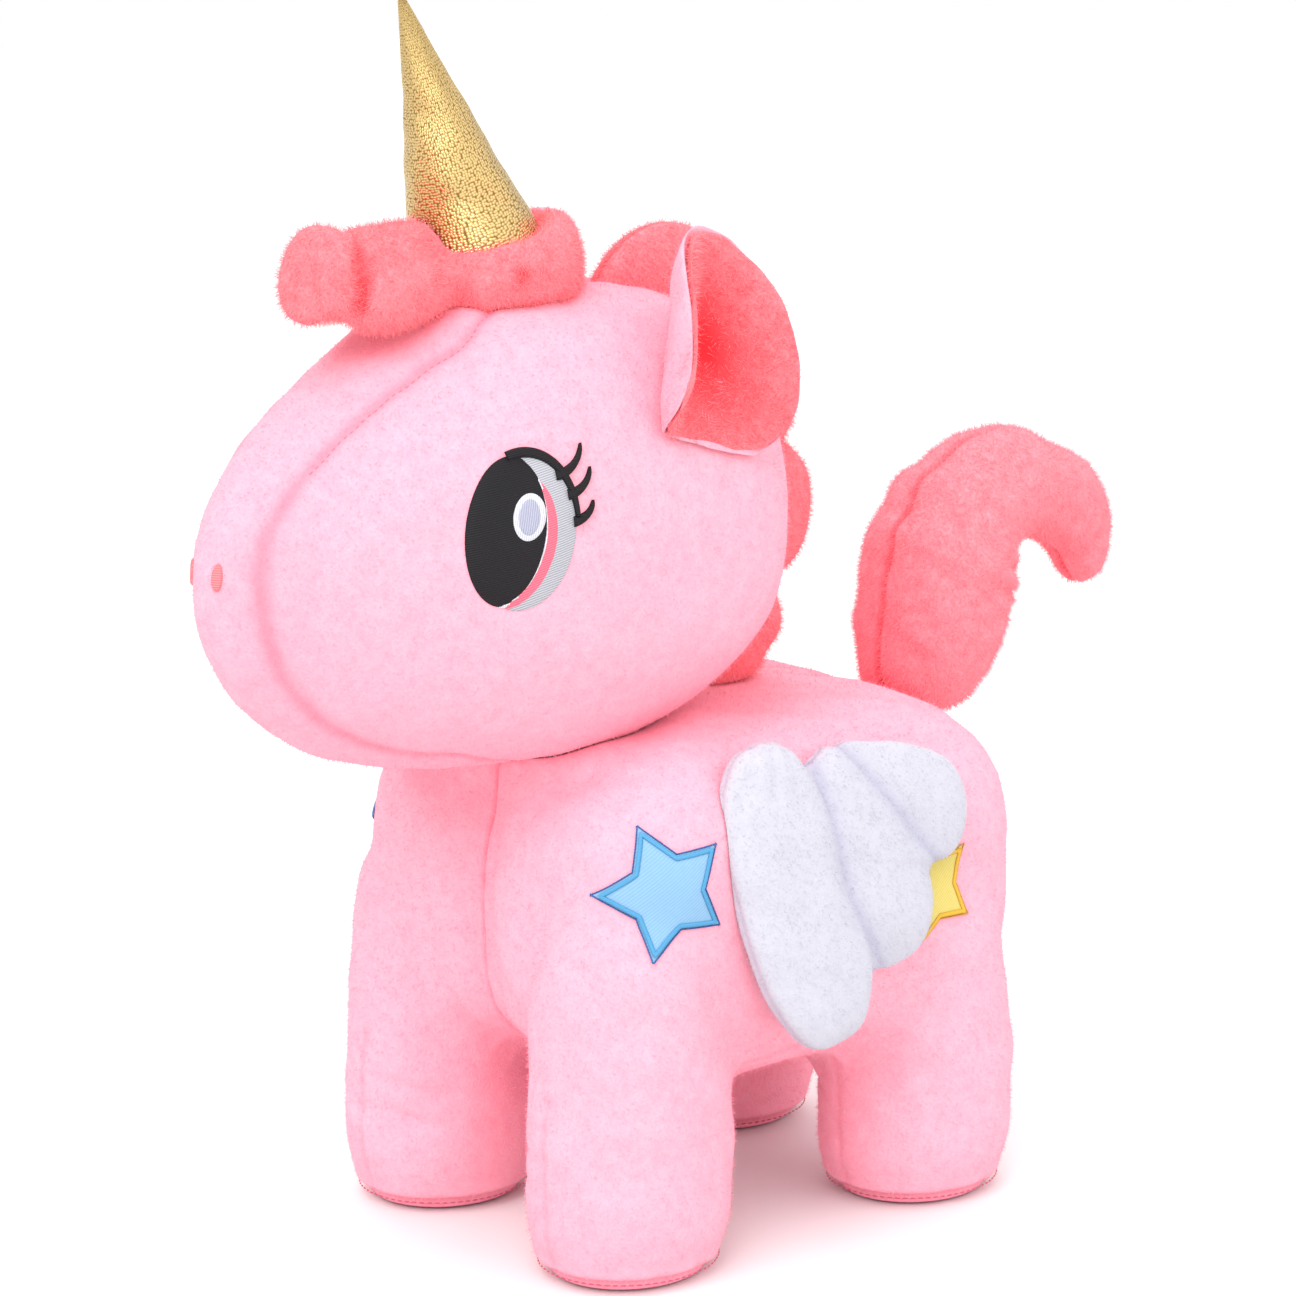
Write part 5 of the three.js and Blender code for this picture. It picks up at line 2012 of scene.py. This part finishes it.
@dataclass
class Wing:
    """Three padded feathers sewn side by side, hanging from their top edge."""

    hinge: tuple[float, float, float] = (69.0, 1.0, 166.0)
    lean: float = 13.0
    half_thickness: float = 9.0
    sewn_half: float = 1.6
    middle: tuple[float, float] = (-2.0, -38.0)
    feathers: tuple[tuple[float, float, float, float, float], ...] = (
        (-24.0, -46.0, 23.0, 50.0, 10.0), (5.0, -38.0, 26.0, 38.0, 13.0),
        (22.0, -25.0, 31.0, 21.0, -10.0))
    feather_power: float = 2.4
    notch_power: float = 30.0
    longest: float = 75.0

    def reach(self, way: Points) -> Points:
        """How far the pad's edge lies from its middle, where the furthest feather ends.

        Args:
            way: Directions in the wing's plane.
        Returns:
            The distances, a little softened in the notches between the feathers.
        """
        far = np.linspace(0, self.longest, 751)
        y = self.middle[0] + np.outer(np.cos(way), far)
        z = self.middle[1] + np.outer(np.sin(way), far)
        total = np.zeros(len(way))
        for centre_y, centre_z, half_width, half_length, turn in self.feathers:
            c, s = math.cos(math.radians(turn)), math.sin(math.radians(turn))
            u = ((y - centre_y) * c + (z - centre_z) * s) / half_width
            v = ((z - centre_z) * c - (y - centre_y) * s) / half_length
            inside = np.abs(u) ** self.feather_power + np.abs(v) ** self.feather_power < 1
            total += (far * inside).max(1) ** self.notch_power
        return total ** (1 / self.notch_power)

    def pad(self) -> Form:
        """The stuffed pad inside the feathers' outline, flat in the plane of Y and Z.

        Returns:
            The form.
        """
        ways = np.linspace(-math.pi, math.pi, 361)
        edge = self.reach(ways)

        def place(p: Points) -> Points:
            """Moves the unit ball's points to the pad's skin."""
            flat = np.minimum(np.hypot(p[:, 0], p[:, 1]), 1.0)
            way = np.arctan2(p[:, 1], p[:, 0])
            far = np.interp(way, ways, edge) * flat**0.85
            thick = np.sign(p[:, 2]) * np.abs(p[:, 2]) ** 0.7 * self.half_thickness
            y, z = self.middle
            return np.stack([thick, y + far * np.cos(way), z + far * np.sin(way)], 1)

        return Form.ball(place, 44, 150)

    def build(self, shop: Workshop, body: BVHTree, side: Side) -> None:
        """Sews the wing.

        Args:
            shop: The workshop.
            body: The body's surface, which the wing stays clear of.
            side: The flank.
        """
        form = self.pad()
        creases = [
            spline([(0, -12, 4), (0, -9, -31), (0, -6, -51), (0, 5, -74)], 24),
            spline([(0, 1, 0), (0, 10, -14), (0, 20, -28), (0, 35, -46)], 20),
        ]
        form = form.inflated(np.abs(form.points[:, 0]) < self.sewn_half, 3.0, 2.5).finer(1)
        p = form.points
        near = np.minimum(*[distance_to_line(p * [0, 1, 1], c) for c in creases])
        crease = bell(near, 1.8)
        valley = bell(near, 6.0)
        rim_line = bell(p[:, 0], 1.0)
        rays = np.sin(np.arctan2(p[:, 1] + 24, p[:, 2] - 20) * 22) * np.clip(1 - np.abs(p[:, 2] + 4) / 26, 0, 1)
        form.pushed(-0.7 * crease - 1.3 * valley - 0.4 * rim_line
                    + 0.5 * ripple(p, 26, 101) + 0.3 * rays)
        # Painted shade in the creases between the feathers, in their valleys and along the seam round the rim.
        fold = np.clip(0.35 * crease + 0.2 * valley + 0.3 * rim_line, 0, 1)
        form.points = turned_about(form.points, "y", -self.lean) + np.array(self.hinge)
        form = form.on(side)
        form.clear_of(body, 0.6)
        word = side.word
        made = shop.piece(f"wing_pad_{word}", form, "white", f"wing_{word}",
                          [f"wing_front_{word}", f"wing_back_{word}", f"wing_fill_{word}"], fold=fold)
        SHORT_WHITE.grow(shop, made, f"wing_{word}", "white_plush", 110 + side.value)


# ---------------------------------------------------------------- studio


@dataclass
class Studio:
    """A pale floor, soft lights all round and a camera at the toy's left front."""

    camera: tuple[float, float, float] = (975.9, -818.8, 454.2)
    target: tuple[float, float, float] = (0.0, 0.0, 195.0)
    lens: float = 109.4
    shift: tuple[float, float] = (-0.0309, -0.0224)
    floor_half: float = 6.0
    suns: tuple[tuple[str, tuple[float, float, float], float, float], ...] = (
        ("key", (500, -1000, 1300), 2.1, 50), ("fill", (1100, 500, 900), 0.7, 70),
        ("back", (-900, 600, 900), 0.8, 60))

    def place(self, p: Sequence[float]) -> Vector:
        """A place in the toy's frame as a place in the row's, in metres."""
        return Vector((np.array(p) + SHIFT) * MM)

    def build(self) -> None:
        """Sets up the floor, the lights and the camera."""
        scene = bpy.context.scene
        data = bpy.data.cameras.new("camera")
        data.lens, data.sensor_width = self.lens, 36.0
        data.shift_x, data.shift_y = self.shift
        data.clip_start, data.clip_end = 0.01, 50.0
        camera = shown("camera", data)
        camera.location = self.place(self.camera)
        aim = self.place(self.target) - camera.location
        camera.rotation_euler = aim.to_track_quat("-Z", "Y").to_euler()
        scene.camera = camera

        far = self.floor_half
        paper = bpy.data.meshes.new("floor")
        corners = [(-far, -far, 0), (far, -far, 0), (far, far, 0), (-far, far, 0)]
        paper.from_pydata(corners, [], [(0, 1, 2, 3)])
        paper.materials.append(SeamlessPaper().material())
        shown("floor", paper)

        world = bpy.data.worlds.new("light_tent")
        world.use_nodes = True
        world.node_tree.nodes["Background"].inputs["Color"].default_value = (1.0, 1.0, 1.0, 1.0)
        world.node_tree.nodes["Background"].inputs["Strength"].default_value = 1.0
        scene.world = world
        scene.view_settings.view_transform = "Standard"
        for name, place, power, spread in self.suns:
            light = bpy.data.lights.new(name, "SUN")
            light.energy, light.angle = power, math.radians(spread)
            way = -self.place(place)
            shown(name, light).rotation_euler = way.to_track_quat("-Z", "Y").to_euler()


# ---------------------------------------------------------------- the whole toy


def sew_head(shop: Workshop) -> BVHTree:
    """Makes the head with its face.

    Args:
        shop: The workshop.
    Returns:
        The head's surface.
    """
    head = Head()
    form, fold = head.shaped()
    cloth = form.surface()
    eye = Eye()
    bare = np.ones(len(form.points))
    for side in Side:
        hoop = eye.hoop(side, cloth)
        rel = form.points - hoop.centre
        u, v = rel @ hoop.across * side.value, rel @ hoop.up
        near = np.hypot((u - 0.5) / 20.5, v / 26.5) < 1
        bare[near & (rel @ hoop.outward > -30)] = 0.0
    made = shop.piece(
        "head_cover", form, "pink", "head",
        ["head_side_left", "head_side_right", "face_panel", "head_fill"],
        fold=fold, pile=bare * (1 - 0.7 * fold))
    SHORT_PINK.grow(shop, made, "head", "light_pink_plush", 21)
    for side in Side:
        eye.build(shop, cloth, side)
        Nostril().build(shop, cloth, side)
    for side in Side:
        ys = np.linspace(head.nose_y + 30, head.back_y - 12, 60)
        line, outs = [], []
        for y in ys:
            x = float(head.panel_half(np.array([y]))[0]) * side.value
            found, out, _, _ = cloth.ray_cast(Vector((x, y, 400)), Vector((0, 0, -1)))
            line.append(np.array(found) + 0.05 * np.array(out))
            outs.append(np.array(out))
        PANEL_SEAM.sew(shop, f"face_seam_stitches_{side.word}", np.array(line), np.array(outs), "head",
                       "light_pink_plush", False)
    return cloth


def sew_body(shop: Workshop, head: BVHTree) -> BVHTree:
    """Makes the body with its soles and stars.

    Args:
        shop: The workshop.
        head: The head's surface.
    Returns:
        The body's surface.
    """
    body = Body()
    form, fold = body.shaped(head)
    cloth = form.surface()
    stars = [Star("blue", -71.5, 129.0, 21.8, -0.38, far_shift=8.0),
             Star("yellow", 39.0, 112.0, 20.0, 0.0)]
    pile = 1 - 0.7 * fold
    p = form.points
    for star in stars:
        near = np.hypot(p[:, 1] - star.y, p[:, 2] - star.z) < star.radius * 0.62
        pile[near & (np.abs(p[:, 0]) > 40)] = 0.0
    pile[p[:, 2] < body.sole_thickness] = 0.0  # the soles stand on the floor
    skins = [f"body_side_{s.word}" for s in Side] + ["belly_panel", "body_fill"]
    fills = [f"leg_fill_{end}_{s.word}" for end in ("front", "rear") for s in Side]
    made = shop.piece("body_cover", form, "pink", "body", skins + fills,
                      fold=fold, pile=pile)
    SHORT_PINK.grow(shop, made, "body", "light_pink_plush", 11)
    body.soles(shop)
    for star in stars:
        for side in Side:
            star.build(shop, cloth, side)
    return cloth


def main() -> None:
    """Builds the toy, sub-assembly by sub-assembly, then its studio."""
    logging.basicConfig(level=logging.INFO, format="%(relativeCreated)6.0f ms  %(message)s")
    shop = Workshop()
    head = sew_head(shop)
    body = sew_body(shop, head)
    horn = Horn()
    horn.build(shop, head)
    Forelock(horn).build(shop, head)
    Mane().build(shop, body)
    for side in Side:
        Ear().build(shop, head, side)
        Wing().build(shop, body, side)
    Tail().build(shop, body)
    Studio().build()


if __name__ == "__main__":
    main()
